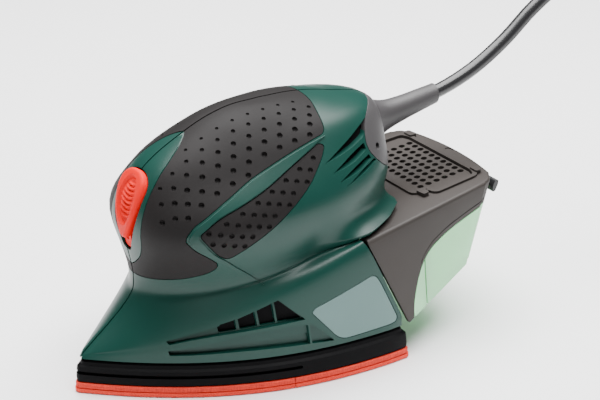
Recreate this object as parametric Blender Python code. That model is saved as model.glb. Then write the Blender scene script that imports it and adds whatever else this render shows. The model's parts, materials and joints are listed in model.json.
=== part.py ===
"""Corded detail sander with an iron-shaped foot, a bulb-shaped grip and a clip-on dust box.

Frame: +X points to the nose, +Y to the tool's left side, +Z up. The origin is on the motor's axis,
on the underside of the sanding sheet. All constants are in millimetres; meshes are made in metres.
"""
import math

import bmesh
import bpy
from mathutils import Vector
from mathutils.geometry import tessellate_polygon

MM = 0.001

# ---- driving dimensions (mm) ----
NOSE_X = 84.0            # sheet's front end
REAR_X = -48.5           # foot's rear edge
HALF_WIDTH = 51.0        # foot's greatest half width
WIDEST_X = -38.0         # where the foot is widest
OUTLINE_POWER = 2.38     # fullness of the foot's sides
NOSE_R = 2.5
CORNER_R = 2.5
SHEET_Z = (0.0, 1.6)
PAD_Z = (1.9, 4.3)
PLATEN_Z = (4.6, 13.6)
SKIRT_Z = 14.8           # housing's lower rim
RIM_INSET = 2.2          # rim's distance inside the sheet's edge
RIM_NOSE_R = 3.5
AXIS_X = -5.0            # centre that the housing's upright sections run through
TOP_Z = 110.5
WALL = 3.2
GRIP_T = 1.6
FIT = 0.3                # gap between touching pieces
SEAM = 0.1               # half the gap between the housing halves
BOSS_R = 4.6             # screw bosses
ORBIT = 0.8              # eccentric's offset
SPLIT_X = 7.4            # where front and rear sheet meet, at the sides
SPLIT_BOW = 5.0

# dust box: front and rear, low and high
BOX_FRONT_X = (-48.6, -29.4)
BOX_REAR_X = (-93.5, -103.5)
BOX_LOW_Z = (15.5, 29.5)
BOX_HIGH_Z = (56.0, 64.5)
BOX_HALF_FRONT = (49.0, 44.0)
BOX_HALF_REAR = 35.0
BOX_BULGE = 4.5
BOX_WALL = 1.8
PORT_Z = 33.0            # middle of the dust duct

# slide switch: a curved track about an axis along Y
TRACK_X, TRACK_Z = 14.3, 65.8
TRACK_R = 44.6

# motor
SHAFT_R = 4.0
FAN_R = 26.0

# mains lead
CORD_D = 6.2
COIL_X = -275.0
COIL_R = 36.0            # middle of the turns
COIL_COLUMNS = 4         # turns side by side
COIL_LAYERS = 2
PLUG_Y, PLUG_Z = 44.2, 6.85
CORD_ROUTE = [(-46, 0, 87.2), (-63, 0, 89.6), (-80, 0, 92.1), (-98, 0, 95), (-116, 0, 101.4), (-133, 0, 111.4),
              (-150, 0, 124.5), (-168, 1.5, 134.5), (-186, 5.5, 133), (-201, 11.5, 120.5), (-210, 18, 101),
              (-214, 25, 78), (-217, 32, 54), (-222, 38.5, 30), (-232, 43.5, 11.5), (-248.5, 45.4, 3.6)]


# ---- materials ----
def material(name, colour, roughness, metallic=0.0, alpha=1.0):
    mat = bpy.data.materials.new(name)
    mat.use_nodes = True
    shader = mat.node_tree.nodes["Principled BSDF"]
    shader.inputs["Base Color"].default_value = (*colour, 1.0)
    shader.inputs["Roughness"].default_value = roughness
    shader.inputs["Metallic"].default_value = metallic
    shader.inputs["Alpha"].default_value = alpha
    mat.diffuse_color = (*colour, alpha)
    return mat


# ---- mesh helpers ----
def finish(name, bm, mat=None, origin=(0.0, 0.0, 0.0), cutter=False):
    """Turn a bmesh given in millimetres into a named object whose origin is the given point."""
    bmesh.ops.translate(bm, verts=bm.verts, vec=-Vector(origin))
    bmesh.ops.scale(bm, verts=bm.verts, vec=(MM, MM, MM))
    bmesh.ops.recalc_face_normals(bm, faces=bm.faces)
    mesh = bpy.data.meshes.new(name)
    bm.to_mesh(mesh)
    bm.free()
    obj = bpy.data.objects.new(name, mesh)
    obj.location = Vector(origin) * MM
    bpy.context.scene.collection.objects.link(obj)
    if cutter:
        obj.hide_render = True
        obj.display_type = "WIRE"
    else:
        mesh.materials.append(mat)
    return obj


def loft_bmesh(loops, ring=False):
    """Skin loops of equally many points; a ring joins the last loop to the first, else the ends close."""
    bm = bmesh.new()
    rows = [[bm.verts.new(p) for p in loop] for loop in loops]
    count = len(loops[0])
    pairs = list(zip(rows[:-1], rows[1:]))
    if ring:
        pairs.append((rows[-1], rows[0]))
    for low, high in pairs:
        for i in range(count):
            j = (i + 1) % count
            bm.faces.new((low[i], low[j], high[j], high[i]))
    if not ring:
        bm.faces.new(rows[0][::-1])
        bm.faces.new(rows[-1])
    return bm


def loft(name, loops, mat=None, ring=False, origin=(0, 0, 0), cutter=False):
    return finish(name, loft_bmesh(loops, ring), mat, origin, cutter)


def level(loop, z):
    return [(x, y, z) for x, y in loop]


def circle(radius, count=32, centre=(0.0, 0.0), start=0.0):
    steps = [start + 2 * math.pi * i / count for i in range(count)]
    return [(centre[0] + radius * math.cos(a), centre[1] + radius * math.sin(a)) for a in steps]


def offset(loop, distance):
    """Move a counter-clockwise outline inwards by a distance."""
    moved = []
    for i, (x, y) in enumerate(loop):
        before = Vector((x - loop[i - 1][0], y - loop[i - 1][1])).normalized()
        after_point = loop[(i + 1) % len(loop)]
        after = Vector((after_point[0] - x, after_point[1] - y)).normalized()
        normal = Vector((-before.y - after.y, before.x + after.x)).normalized()
        stretch = max(normal.dot(Vector((-before.y, before.x))), 0.4)
        moved.append((x + normal.x * distance / stretch, y + normal.y * distance / stretch))
    return moved


def plate(name, levels, holes, mat, origin=(0, 0, 0)):
    """A stack of outlines (z, loop) of equal length with straight holes through it."""
    bm = bmesh.new()
    rows = [[bm.verts.new((x, y, z)) for x, y in loop] for z, loop in levels]
    for low, high in zip(rows[:-1], rows[1:]):
        for i in range(len(low)):
            j = (i + 1) % len(low)
            bm.faces.new((low[i], low[j], high[j], high[i]))
    ends = []
    for row, (z, loop) in ((rows[0], levels[0]), (rows[-1], levels[-1])):
        hole_rows = [[bm.verts.new((x, y, z)) for x, y in hole] for hole in holes]
        flat = [[Vector((x, y, 0)) for x, y in part] for part in [loop, *holes]]
        verts = row + [v for hole in hole_rows for v in hole]
        for a, b, c in tessellate_polygon(flat):
            bm.faces.new((verts[a], verts[b], verts[c]))
        ends.append(hole_rows)
    for low, high in zip(*ends):
        for i in range(len(low)):
            j = (i + 1) % len(low)
            bm.faces.new((low[i], high[i], high[j], low[j]))
    return finish(name, bm, mat, origin)


def turned(name, profile, mat, centre=(0.0, 0.0), count=32):
    """A ring turned about an upright axis; the profile is a closed list of (radius, z)."""
    loops = [level(circle(r, count, centre), z) for r, z in profile]
    return loft(name, loops, mat, ring=True, origin=(*centre, 0))


def rod(name, levels, mat=None, centre=(0.0, 0.0), count=24, cutter=False):
    """A solid round piece from (radius, z) levels, bottom to top."""
    loops = [level(circle(r, count, centre), z) for r, z in levels]
    return loft(name, loops, mat, origin=(*centre, 0), cutter=cutter)


def bar(name, low, high, mat=None, cutter=False, origin=(0, 0, 0)):
    """A block between two corners."""
    outline = [(low[0], low[1]), (high[0], low[1]), (high[0], high[1]), (low[0], high[1])]
    return loft(name, [level(outline, low[2]), level(outline, high[2])], mat, origin=origin, cutter=cutter)


def side_prism(name, outline, y_low, y_high, mat=None, cutter=True, origin=(0, 0, 0)):
    """An outline of (x, z) points drawn in side view and run along Y."""
    loops = [[(x, y, z) for x, z in outline] for y in (y_low, y_high)]
    return loft(name, loops, mat, origin=origin, cutter=cutter)


def cross_rod(name, x, z, levels, mat=None, count=12, cutter=False):
    """A round piece lying along Y, from (radius, y) levels."""
    loops = [[(x + a, y, z + b) for a, b in circle(r, count)] for r, y in levels]
    return loft(name, loops, mat, cutter=cutter)


def boolean(obj, tool, operation="DIFFERENCE", solver="MANIFOLD"):
    modifier = obj.modifiers.new(tool.name, "BOOLEAN")
    modifier.operation = operation
    modifier.solver = solver
    modifier.object = tool


# ---- the foot's outline ----
def half_outline(inset=0.0, nose_r=NOSE_R):
    """From the nose to the middle of the rear edge, on the left side."""
    nose, half, rear = NOSE_X - 1.3 * inset, HALF_WIDTH - inset, REAR_X + inset
    points = [(nose - nose_r + nose_r * math.cos(a), nose_r * math.sin(a))
              for a in (0.0, math.radians(24), math.radians(45))]
    start_x, start_y = points[-1]
    start_share = (1 - start_y / half) ** (1 / OUTLINE_POWER)
    apex = WIDEST_X + (start_x - WIDEST_X) / start_share
    for step in (0.04, 0.1, 0.18, 0.27, 0.37, 0.48, 0.6, 0.73, 0.87, 1.0):
        x = start_x + (WIDEST_X - start_x) * step
        share = (x - WIDEST_X) / (apex - WIDEST_X)
        points.append((x, half * (1 - share ** OUTLINE_POWER)))
    centre = (rear + CORNER_R, half - 0.4 - CORNER_R)
    for a in (110, 145, 180):
        points.append((centre[0] + CORNER_R * math.cos(math.radians(a)),
                       centre[1] + CORNER_R * math.sin(math.radians(a))))
    points += [(rear, half * share) for share in (0.75, 0.5, 0.25, 0.0)]
    return points


def full_outline(inset=0.0, nose_r=NOSE_R):
    left = half_outline(inset, nose_r)
    right = [(x, -y) for x, y in left[-2:0:-1]]
    return left + right


# ---- the housing's surface ----
def oval(angle, front, rear, side, front_power, rear_power):
    """Radius of an oval with its own front and rear length and fullness."""
    c, s = math.cos(angle), abs(math.sin(angle))
    length, power = (front, front_power) if c > 0 else (rear, rear_power)
    return (abs(c / length) ** power + (s / side) ** power) ** (-1.0 / power)


def catmull(points, steps):
    padded = [2 * points[0] - points[1], *points, 2 * points[-1] - points[-2]]
    out = []
    for a, b, c, d in zip(padded, padded[1:], padded[2:], padded[3:]):
        for k in range(steps):
            t = k / steps
            out.append(0.5 * (2 * b + (c - a) * t + (2 * a - 5 * b + 4 * c - d) * t * t
                              + (3 * b - a - 3 * c + d) * t ** 3))
    return out + [points[-1]]


def upright_section(x, y, steps, inset):
    """(radius, z) points up the housing, above the outline point (x, y)."""
    angle = math.atan2(abs(y), x - AXIS_X)
    foot = math.hypot(x - AXIS_X, y)
    front = (1 + math.cos(angle)) / 2
    top = TOP_Z - inset
    crease_z = 19 + 0.33 * (79 - max(x, -30)) - 0.8 * inset
    waist = oval(angle, 60.6, 52, 36, 1.9, 2.4) - inset
    bulge = oval(angle, 63.9, 56, 40, 2.75, 2.4) - inset
    shoulder = oval(angle, 55.9, 54, 27.2, 2.42, 2.2) - 0.75 * inset
    waist_z = 45.3 * front + 62 * (1 - front)
    bulge_z = 70 * front + 80 * (1 - front)
    shoulder_z = 90 * front + 100.5 * (1 - front) - 0.6 * inset
    rise = top - shoulder_z
    points = [(foot, SKIRT_Z), (foot - 1.2, (SKIRT_Z + crease_z) / 2), (foot - 3.2, crease_z),
              (waist + 0.15 * (foot - waist), crease_z + 0.6 * (waist_z - crease_z)),
              (waist, waist_z), (bulge, bulge_z), (shoulder, shoulder_z),
              (0.62 * shoulder, shoulder_z + 0.65 * rise), (0.3 * shoulder, shoulder_z + 0.95 * rise),
              (0.01, top)]
    return catmull([Vector(p) for p in points], steps)


def body_bmesh(inset=0.0, steps=2, bottom=None):
    """The whole housing as one closed form, made smaller all round by an inset."""
    outline = full_outline(RIM_INSET + inset, max(RIM_NOSE_R - 0.4 * inset, 1.5))
    columns = [upright_section(x, y, steps, inset) for x, y in outline]
    bm = bmesh.new()
    grid = []
    for k in range(len(columns[0]) - 1):
        row = []
        for (x, y), column in zip(outline, columns):
            direction = Vector((x - AXIS_X, y)).normalized()
            radius, z = column[k]
            if k == 0 and bottom is not None:
                z = bottom
            row.append(bm.verts.new((AXIS_X + direction.x * radius, direction.y * radius, z)))
        grid.append(row)
    top = bm.verts.new((AXIS_X, 0, TOP_Z - inset))
    count = len(outline)
    for low, high in zip(grid[:-1], grid[1:]):
        for i in range(count):
            j = (i + 1) % count
            # both sides are split along mirrored diagonals, so that every inset form keeps its distance
            if i < count // 2:
                triangles = ((low[i], low[j], high[j]), (low[i], high[j], high[i]))
            else:
                triangles = ((low[i], low[j], high[i]), (low[j], high[j], high[i]))
            for triangle in triangles:
                bm.faces.new(triangle)
    for i in range(count):
        bm.faces.new((grid[-1][i], grid[-1][(i + 1) % count], top))
    bm.faces.new(grid[0][::-1])
    return bm


def body_form(name, mat=None, inset=0.0, bottom=None, cutter=False, steps=2):
    return finish(name, body_bmesh(inset, steps, bottom), mat, cutter=cutter)


# ---- side-view outlines of what is let into the housing (x, z) ----
TOP_GRIP = [(-22, 118), (-21.5, 109), (-21, 101), (-3, 96), (14, 90), (31, 84), (45, 77), (47, 68),
            (42, 65), (36, 60), (34, 57), (36, 54), (43, 50.5), (50, 48), (57, 46.5), (70, 46.5), (70, 118)]
SIDE_GRIP = [(42, 73), (24, 83), (-2, 93), (-16, 97.5), (-18, 96), (-9, 87), (3, 78), (13, 71), (27, 62.5),
             (31, 60.5), (37, 66)]
NAME_PLATE = [(-2, 32), (-4, 33.5), (-30, 41.5), (-32.5, 40.5), (-43, 20), (-42, 18), (-14, 17.5),
              (-12, 18.5)]
REAR_VENTS = [[(-50, 101), (-34, 96.5), (-16, 89), (-32, 91.5), (-50, 96)],
              [(-50, 94.5), (-36, 91), (-19, 85.8), (-34, 87.6), (-50, 91)],
              [(-50, 89.5), (-36, 87), (-20, 82), (-34, 84), (-50, 86.6)],
              [(-50, 85.5), (-38, 83.8), (-24, 80), (-36, 81.4), (-50, 83.2)]]
SIDE_VENTS = [[(35, 27.2), (29.5, 27.6), (29.5, 33), (35, 31)],
              [(28, 27.7), (22, 28.2), (22, 35.6), (28, 33.5)],
              [(20.5, 28.3), (14, 28.8), (14, 38), (20.5, 36)],
              [(12.5, 28.9), (1, 29.2), (10, 38.8), (12.5, 38.4)]]
CAP = [(-62 + 21 * math.cos(math.radians(a)), 89 + 14 * math.sin(math.radians(a))) for a in range(0, 360, 15)]
# what the dust box needs behind the housing
BOX_BAY = [(REAR_X - 12, 5), (REAR_X - 0.2, 5), (REAR_X - 0.2, 14), (-28.4, 56.9), (-75, 62.2), (-75, 5)]
BOX_BAY_WALLED = [(-60, 5), (-45.8, 5), (-45.8, 14), (-26.2, 53.8), (-27, 60), (-75, 65.4), (-75, 5)]
# green surround of the switch, seen from the front (y, z)
SWITCH_SURROUND = [(0, 103), (8, 98.5), (12, 92), (14, 81), (13.2, 72), (11, 61), (5, 53.5), (0, 50),
                   (-5, 53.5), (-11, 61), (-13.2, 72), (-14, 81), (-12, 92), (-8, 98.5)]
SCREWS = {"nose": (60, 22, 12.5), "rear": (-37, 19.5, 46.5), "top": (-34, 100.5, 21)}


def track_block(name, stations, mat=None, cutter=False, origin=(0, 0, 0)):
    """A block swept about the switch's axis; stations are (degrees, half width, inner r, outer r)."""
    loops = []
    for degrees, half, inner, outer in stations:
        c, s = math.cos(math.radians(degrees)), math.sin(math.radians(degrees))
        corners = ((inner, -half), (outer, -half), (outer, half), (inner, half))
        loops.append([(TRACK_X + r * c, y, TRACK_Z + r * s) for r, y in corners])
    return loft(name, loops, mat, origin=origin, cutter=cutter)


def switch_stations(grow, inner, outer, low=-3.0, high=34.5):
    """A drop shape: wide at the top, narrow below, grown by a margin."""
    margin = math.degrees(grow / TRACK_R)
    shape = ((0.0, 2.4), (0.12, 4.2), (0.3, 6.6), (0.5, 8.3),
             (0.7, 9.0), (0.86, 8.2), (0.95, 6.2), (1.0, 3.6))
    return [(low - margin + (high - low + 2 * margin) * share, half + grow, inner, outer)
            for share, half in shape]


def make_housing(green):
    """Two half shells with their bays, vents and bosses."""
    cavity = body_form("cavity_cut", inset=WALL, bottom=8.0, cutter=True, steps=1)
    boolean(cavity, side_prism("bay_wall_cut", BOX_BAY_WALLED, -70, 70))
    pad = [(degrees, 12.5, 39.6, 60) for degrees in (-20, -8, 4, 16, 28, 40)]
    boolean(cavity, track_block("switch_pad_cut", pad, cutter=True))
    for key, (x, z, _) in SCREWS.items():
        boolean(cavity, cross_rod(f"boss_{key}_cut", x, z, [(BOSS_R, -70), (BOSS_R, 70)], cutter=True))
    tools = [cavity, side_prism("bay_cut", BOX_BAY, -70, 70)]
    tools.append(side_prism("cap_cut", offset(CAP, -FIT), -40, 40))
    tools.append(track_block("switch_cut", switch_stations(0.7, 41.6, 60, low=-9.2), cutter=True))
    tools.append(track_block("tongue_cut", [(d, 2.9, 41.6, 43.4) for d in (-15.5, -8)], cutter=True))
    tools.append(track_block("link_cut", [(d, 1.9, 30, 42) for d in (3, 10, 18)], cutter=True))
    for i, outline in enumerate(REAR_VENTS + SIDE_VENTS):
        tools.append(side_prism(f"vent_{i}_cut", outline, -70, 70))
    tools.append(bar("port_cut", (-60, -11, 27), (-30, 11, 39), cutter=True))
    for key, (x, z, half) in SCREWS.items():
        hole = [(3.5, -70), (3.5, 2.6 - half), (2.0, 2.61 - half), (2.0, min(half - 5, 12))]
        tools.append(cross_rod(f"hole_{key}_cut", x, z, hole, cutter=True))
    for side, sign in (("left", 1), ("right", -1)):
        shell = body_form(f"housing_{side}", green)
        y_low, y_high = sorted((sign * SEAM, sign * 80))
        half = bar(f"half_{side}_cut", (-90, y_low, 0), (100, y_high, 130), cutter=True)
        boolean(shell, half, "INTERSECT")
        for tool in tools:
            boolean(shell, tool)
        for grip in ("top", "side"):
            boolean(shell, bpy.data.objects[f"grip_{grip}_{side}_cut"])
        boolean(shell, bpy.data.objects[f"plate_{side}_cut"])


def skin_piece(name, mat, outline, sign, depth, proud=0.0, grow=0.0, cutter=False, surround=False, low=SEAM):
    """The part of the housing's skin inside a side-view outline, as thick as depth.

    A pocket cutter stands proud of the skin and is grown sideways by the fit.
    """
    piece = body_form(name, mat, inset=-proud, cutter=cutter)
    outline = offset(outline, -grow)
    ends = sorted((sign * (low - grow), sign * 80))
    boolean(piece, side_prism(name + "_field", outline, *ends), "INTERSECT")
    boolean(piece, body_form(name + "_core", inset=depth, bottom=5.0, cutter=True))
    if surround:
        shape = offset(ccw(SWITCH_SURROUND), grow)
        loops = [[(x, y, z) for y, z in shape] for x in (20, 80)]
        boolean(piece, loft(name + "_surround", loops, cutter=True))
    return piece


def ccw(outline):
    area = sum(a[0] * b[1] - b[0] * a[1] for a, b in zip(outline, outline[1:] + outline[:1]))
    return outline if area > 0 else outline[::-1]


def make_grips(rubber, plate_mat):
    """Soft overlays and side plates, with the pockets that hold them."""
    top, lens, tag = ccw(TOP_GRIP), ccw(SIDE_GRIP), ccw(NAME_PLATE)
    rating = ccw([(x * 0.75 - 2, 29 + (z - 29) * 0.7) for x, z in NAME_PLATE])
    for side, sign in (("left", 1), ("right", -1)):
        tag_outline = tag if side == "left" else rating
        pocket = {"proud": 2, "grow": FIT, "cutter": True}
        skin_piece(f"grip_top_{side}", rubber, top, sign, GRIP_T, surround=True)
        skin_piece(f"grip_top_{side}_cut", None, top, sign, GRIP_T + FIT, surround=True, **pocket)
        skin_piece(f"grip_side_{side}", rubber, lens, sign, GRIP_T, low=5)
        skin_piece(f"grip_side_{side}_cut", None, lens, sign, GRIP_T + FIT, low=5, **pocket)
        skin_piece(f"name_plate_{side}", plate_mat, tag_outline, sign, 1.3, proud=-0.3, low=5)
        skin_piece(f"plate_{side}_cut", None, tag_outline, sign, 1.6, low=5, **pocket)


def make_switch(red, grey, dark):
    """Slide switch on a curved track, its link and the switch module."""
    axis = (TRACK_X, 0, TRACK_Z)
    stations = [(-8.6, 2.3, 42.0, 43.1), (-3.6, 2.3, 42.0, 43.1)] + switch_stations(0.0, 42.0, TRACK_R + 1.2)
    track_block("switch_slider", stations, red, origin=axis)
    track_block("switch_link", [(d, 1.5, 34.5, 41.7) for d in (9.5, 12, 14.5)], grey, origin=axis)
    bar("switch_module", (34, -7, 56), (46.5, 7, 72.5), dark)


def make_foot(black, red_layer, sheet_mat, steel):
    """Platen, hook layer and sanding sheets, all with dust holes."""
    outline = full_outline()
    hub = (ORBIT, 0.0)
    front_holes = [circle(4.0, 8, p) for p in ((58, 0), (40, 17), (40, -17), (18, 30), (18, -30), (33, 0))]
    rear_holes = [circle(4.0, 8, p) for p in ((-10, 33), (-10, -33), (-34, 33), (-34, -33), (-28, 0))]
    levels = [(PLATEN_Z[0], full_outline(0.6)), (7.2, full_outline(0.9)), (7.3, full_outline(1.9)),
              (8.9, full_outline(2.1)), (9.0, full_outline(1.1)), (PLATEN_Z[1], full_outline(2.4))]
    platen = plate("platen", levels, front_holes + rear_holes, black)
    boolean(platen, rod("hub_cut", [(11.3, 5.9), (11.3, 20)], None, hub, 32, cutter=True))
    split = [(SPLIT_X - SPLIT_BOW * (1 - (k / 5) ** 2), 44.0 * k / 5) for k in range(6)]
    arc = split[::-1] + [(x, -y) for x, y in split[1:]]
    layers = {"hook_pad": (PAD_Z, 0.4, red_layer), "sheet": (SHEET_Z, 0.0, sheet_mat)}
    for layer, (heights, inset, mat) in layers.items():
        edge = full_outline(inset)
        half = len(edge) // 2
        front_left = [p for p in edge[:half] if p[0] > SPLIT_X + 1]
        front = [*front_left, *[(x + 0.15, y) for x, y in arc], *[(x, -y) for x, y in front_left[:0:-1]]]
        rear_left = [p for p in edge[:half + 1] if p[0] < SPLIT_X - 1]
        rear = [*rear_left, *[(x, -y) for x, y in rear_left[-2::-1]], *[(x - 0.15, y) for x, y in arc[::-1]]]
        plate(f"{layer}_front", [(z, front) for z in heights], front_holes, mat)
        plate(f"{layer}_rear", [(z, rear) for z in heights], rear_holes, mat)
    bearing("bearing_platen", 4.3, 11.0, 6.2, 13.2, steel, hub)


def bearing(name, inner, outer, low, high, mat, centre=(0.0, 0.0)):
    lip = 0.5
    turned(name, [(outer, low + lip), (outer, high - lip), (outer - lip, high), (inner, high), (inner, low),
                  (outer - lip, low)], mat, centre, 20)


def fan(name, disc, blades, mat, blade_count=6):
    """A disc (low z, high z) with radial blades on the side that (from z, to z) gives."""
    tip, root = FAN_R - 1.0, 8.0
    angles, star = [], []
    for k in range(blade_count):
        middle = 2 * math.pi * k / blade_count
        for r, a in ((root, -18), (root, -7), (tip, -1.8), (tip, 1.8), (root, 7), (root, 18)):
            angles.append(middle + math.radians(a))
            star.append((r * math.cos(angles[-1]), r * math.sin(angles[-1])))
    edge, bore = ([(r * math.cos(a), r * math.sin(a)) for a in angles] for r in (FAN_R, SHAFT_R + FIT))
    loops = [level(edge, disc[0]), level(edge, disc[1]), level(star, blades[0]), level(star, blades[1]),
             level(bore, blades[1]), level(bore, disc[0])]
    loft(name, loops, mat, ring=True)


def make_motor(steel, copper, dark, lamination, brass, carbon, white):
    """Upright universal motor: rotor, stator, brushes, bearings and the plates that carry them."""
    inner = SHAFT_R + FIT
    rod("rotor_shaft", [(SHAFT_R, 18.9), (SHAFT_R, 99), (SHAFT_R - 0.6, 99.8)], steel)
    sector = [math.radians(a) for a in range(-90, 91, 15)]
    weight = [(-12.5 * math.cos(a), 12.5 * math.sin(a)) for a in sector]
    weight += [(4.6 * math.cos(a), -4.6 * math.sin(a)) for a in sector]
    weight = ccw(weight)
    pin = circle(SHAFT_R, len(weight), (ORBIT, 0.0), math.pi / 2 + 0.12)
    loft("eccentric", [level(pin, 6.4), level(pin, 14.0), level(weight, 14.0), level(weight, 18.6)], steel)
    fan("dust_fan", (28.4, 27.0), (27.0, 20.0), dark)
    fan("cooling_fan", (38.2, 39.6), (39.6, 43.4), white)
    teeth = []
    for k in range(12):
        for r, a in ((10.4, -12), (13.0, -10), (13.0, 10), (10.4, 12)):
            angle = math.radians(30 * k + a)
            teeth.append((r * math.cos(angle), r * math.sin(angle)))
    bore = [(inner * x / math.hypot(x, y), inner * y / math.hypot(x, y)) for x, y in teeth]
    loft("rotor_core", [level(teeth, 50.2), level(teeth, 75.8), level(bore, 75.8), level(bore, 50.2)],
         lamination, ring=True)
    for name, low, high in (("rotor_winding_lower", 44.2, 49.9), ("rotor_winding_upper", 76.1, 81.0)):
        bundle = [(inner, low), (10.5, low), (12.0, (low + high) / 2), (10.5, high), (inner, high)]
        turned(name, bundle, copper, count=16)
    turned("commutator", [(inner, 82.2), (8.4, 82.2), (8.4, 89.4), (inner, 89.4)], copper, count=24)
    bearing("bearing_lower", inner, 11.0, 30.2, 37.2, steel)
    bearing("bearing_upper", inner, 9.5, 92.2, 98.2, steel)

    base = [(44 * c if c > 0 else 31 * c, 35 * s)
            for c, s in (superpoint(2 * math.pi * i / 32, 2.3) for i in range(32))]
    collar, bore = circle(14.5, 32), circle(11.3, 32)
    loft("base_plate", [level(base, 30.0), level(base, 32.6), level(collar, 32.6), level(collar, 37.4),
                        level(bore, 37.4), level(bore, 30.0)], dark, ring=True)
    bridge = [(27 * c, 14 * s) for c, s in (superpoint(2 * math.pi * i / 24, 5) for i in range(24))]
    collar, bore = circle(12, 24), circle(9.8, 24)
    levels = [level(bridge, 92.0), level(bridge, 95.0), level(collar, 95.0), level(collar, 98.4),
              level(bore, 98.4), level(bore, 92.0)]
    loft("bearing_bridge", levels, dark, ring=True)

    pole_half, shoe_r, window = 12.0, 13.8, (21.5, 21.0)
    foot_y = math.sqrt(shoe_r ** 2 - pole_half ** 2)
    first = math.atan2(foot_y, pole_half)
    arc = [first + (math.pi - 2 * first) * k / 8 for k in range(9)]
    upper = [(window[0], window[1]), (pole_half, window[1])]
    upper += [(shoe_r * math.cos(a), shoe_r * math.sin(a)) for a in arc]
    upper += [(-pole_half, window[1]), (-window[0], window[1])]
    hole = upper + [(-x, -y) for x, y in upper]
    frame = [(26 * c, 25 * s) for c, s in (superpoint(2 * math.pi * i / 32, 8) for i in range(32))]
    plate("stator_core", [(51.0, frame), (75.0, frame)], [hole], lamination)
    for side, sign in (("left", 1), ("right", -1)):
        loops = []
        for y in (15.0, 20.6):
            loops.append([(x, sign * y, 63 + z) for x, z in rounded_box(18.6, 17.5, 5)])
        for y in (20.6, 15.0):
            loops.append([(x, sign * y, 63 + z) for x, z in rounded_box(12.6, 12.6, 0.4)])
        loft(f"field_coil_{side}", loops, copper, ring=True)
    for end, sign in (("front", 1), ("rear", -1)):
        outer, hollow = square(4.1), square(3.2)
        loops = [[(sign * x, y, 85.8 + z) for y, z in shape]
                 for x, shape in ((10.0, outer), (29.0, outer), (29.0, hollow), (10.0, hollow))]
        loft(f"brush_holder_{end}", loops, brass, ring=True)
        x_low, x_high = sorted((sign * 8.8, sign * 22))
        bar(f"brush_{end}", (x_low, -2.8, 83.0), (x_high, 2.8, 88.6), carbon)
    loft("capacitor", [level([(x - 36, y) for x, y in rounded_box(5, 9, 2)], z) for z in (66, 80)], white)


def superpoint(angle, power):
    c, s = math.cos(angle), math.sin(angle)
    radius = (abs(c) ** power + abs(s) ** power) ** (-1.0 / power)
    return c * radius, s * radius


def square(half):
    return [(-half, -half), (half, -half), (half, half), (-half, half)]


def rounded_box(half_a, half_b, radius, steps=3):
    points = []
    for k, (sa, sb) in enumerate(((1, 1), (-1, 1), (-1, -1), (1, -1))):
        for i in range(steps + 1):
            a = math.pi / 2 * (k + i / steps)
            points.append((sa * (half_a - radius) + radius * math.cos(a),
                           sb * (half_b - radius) + radius * math.sin(a)))
    return points


def make_posts(rubber):
    """Four rubber posts that carry the platen under the base plate."""
    levels = [(5.5, 13.9), (5.5, 16), (4.2, 18), (4.2, 26), (5.5, 28), (5.5, 29.7)]
    for end, x, half_y in (("front", 31, 19), ("rear", -21, 29)):
        rod(f"post_{end}_left", levels, rubber, (x, half_y), 16)
        rod(f"post_{end}_right", levels, rubber, (x, -half_y), 16)


def make_screws(steel):
    for key, (x, z, half) in SCREWS.items():
        levels = [(3.1, 0.4 - half), (3.1, 2.3 - half), (1.7, 2.31 - half), (1.7, min(half - 6, 11))]
        cross_rod(f"housing_screw_{key}", x, z, levels, steel)


# ---- dust box ----
def box_loop(t, inset=0.0, front=None, drop=0.0):
    """Outline of the dust box at a share t of its height; drop lowers it by millimetres."""
    front_x = BOX_FRONT_X[0] + (BOX_FRONT_X[1] - BOX_FRONT_X[0]) * t if front is None else front
    rear_x = BOX_REAR_X[0] + (BOX_REAR_X[1] - BOX_REAR_X[0]) * t
    half_front = BOX_HALF_FRONT[0] + (BOX_HALF_FRONT[1] - BOX_HALF_FRONT[0]) * t
    corner = 6.0

    def half_at(x):
        nominal = BOX_FRONT_X[0] + (BOX_FRONT_X[1] - BOX_FRONT_X[0]) * t
        share = (nominal - x) / (nominal - rear_x)
        return half_front + (BOX_HALF_REAR - half_front) * share

    left = [(x, half_at(x)) for x in (front_x + (rear_x + corner - front_x) * k / 4 for k in range(5))]
    tight = half_at(rear_x)
    left += [(rear_x + corner * (1 - math.sin(a)), tight - corner * (1 - math.cos(a)))
             for a in (math.radians(35), math.radians(65))]
    left += [(rear_x - BOX_BULGE * (1 - (y / tight) ** 2), y)
             for y in (tight - 7.5, 0.5 * tight, 0.2 * tight)]
    loop = left + [(x, -y) for x, y in left[::-1]]
    if inset:
        loop = offset(loop, inset)
    low = BOX_LOW_Z[0] + (BOX_HIGH_Z[0] - BOX_LOW_Z[0]) * t
    high = BOX_LOW_Z[1] + (BOX_HIGH_Z[1] - BOX_LOW_Z[1]) * t
    nominal = BOX_FRONT_X[0] + (BOX_FRONT_X[1] - BOX_FRONT_X[0]) * t
    slope = (high - low) / (rear_x - nominal)
    return [(x, y, low + (x - nominal) * slope - drop) for x, y in loop]


def top_z(x):
    slope = (BOX_HIGH_Z[1] - BOX_HIGH_Z[0]) / (BOX_REAR_X[1] - BOX_FRONT_X[1])
    return BOX_HIGH_Z[0] + (x - BOX_FRONT_X[1]) * slope


# lower edge of the cover's side cheeks (x, z)
CHEEK_EDGE = [(-120, 57), (-101, 55), (-87, 51.5), (-74, 48), (-65, 43.5), (-60, 38), (-56.5, 30), (-54, 22),
              (-52, 10)]


def box_body(name, mat=None, inset=0.0, front=None, low_t=0.0, high_t=1.0, drop=0.0, cutter=False):
    loops = [box_loop(t, inset, front, drop) for t in (low_t, (low_t + high_t) / 2, high_t)]
    return loft(name, loops, mat, cutter=cutter)


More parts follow.
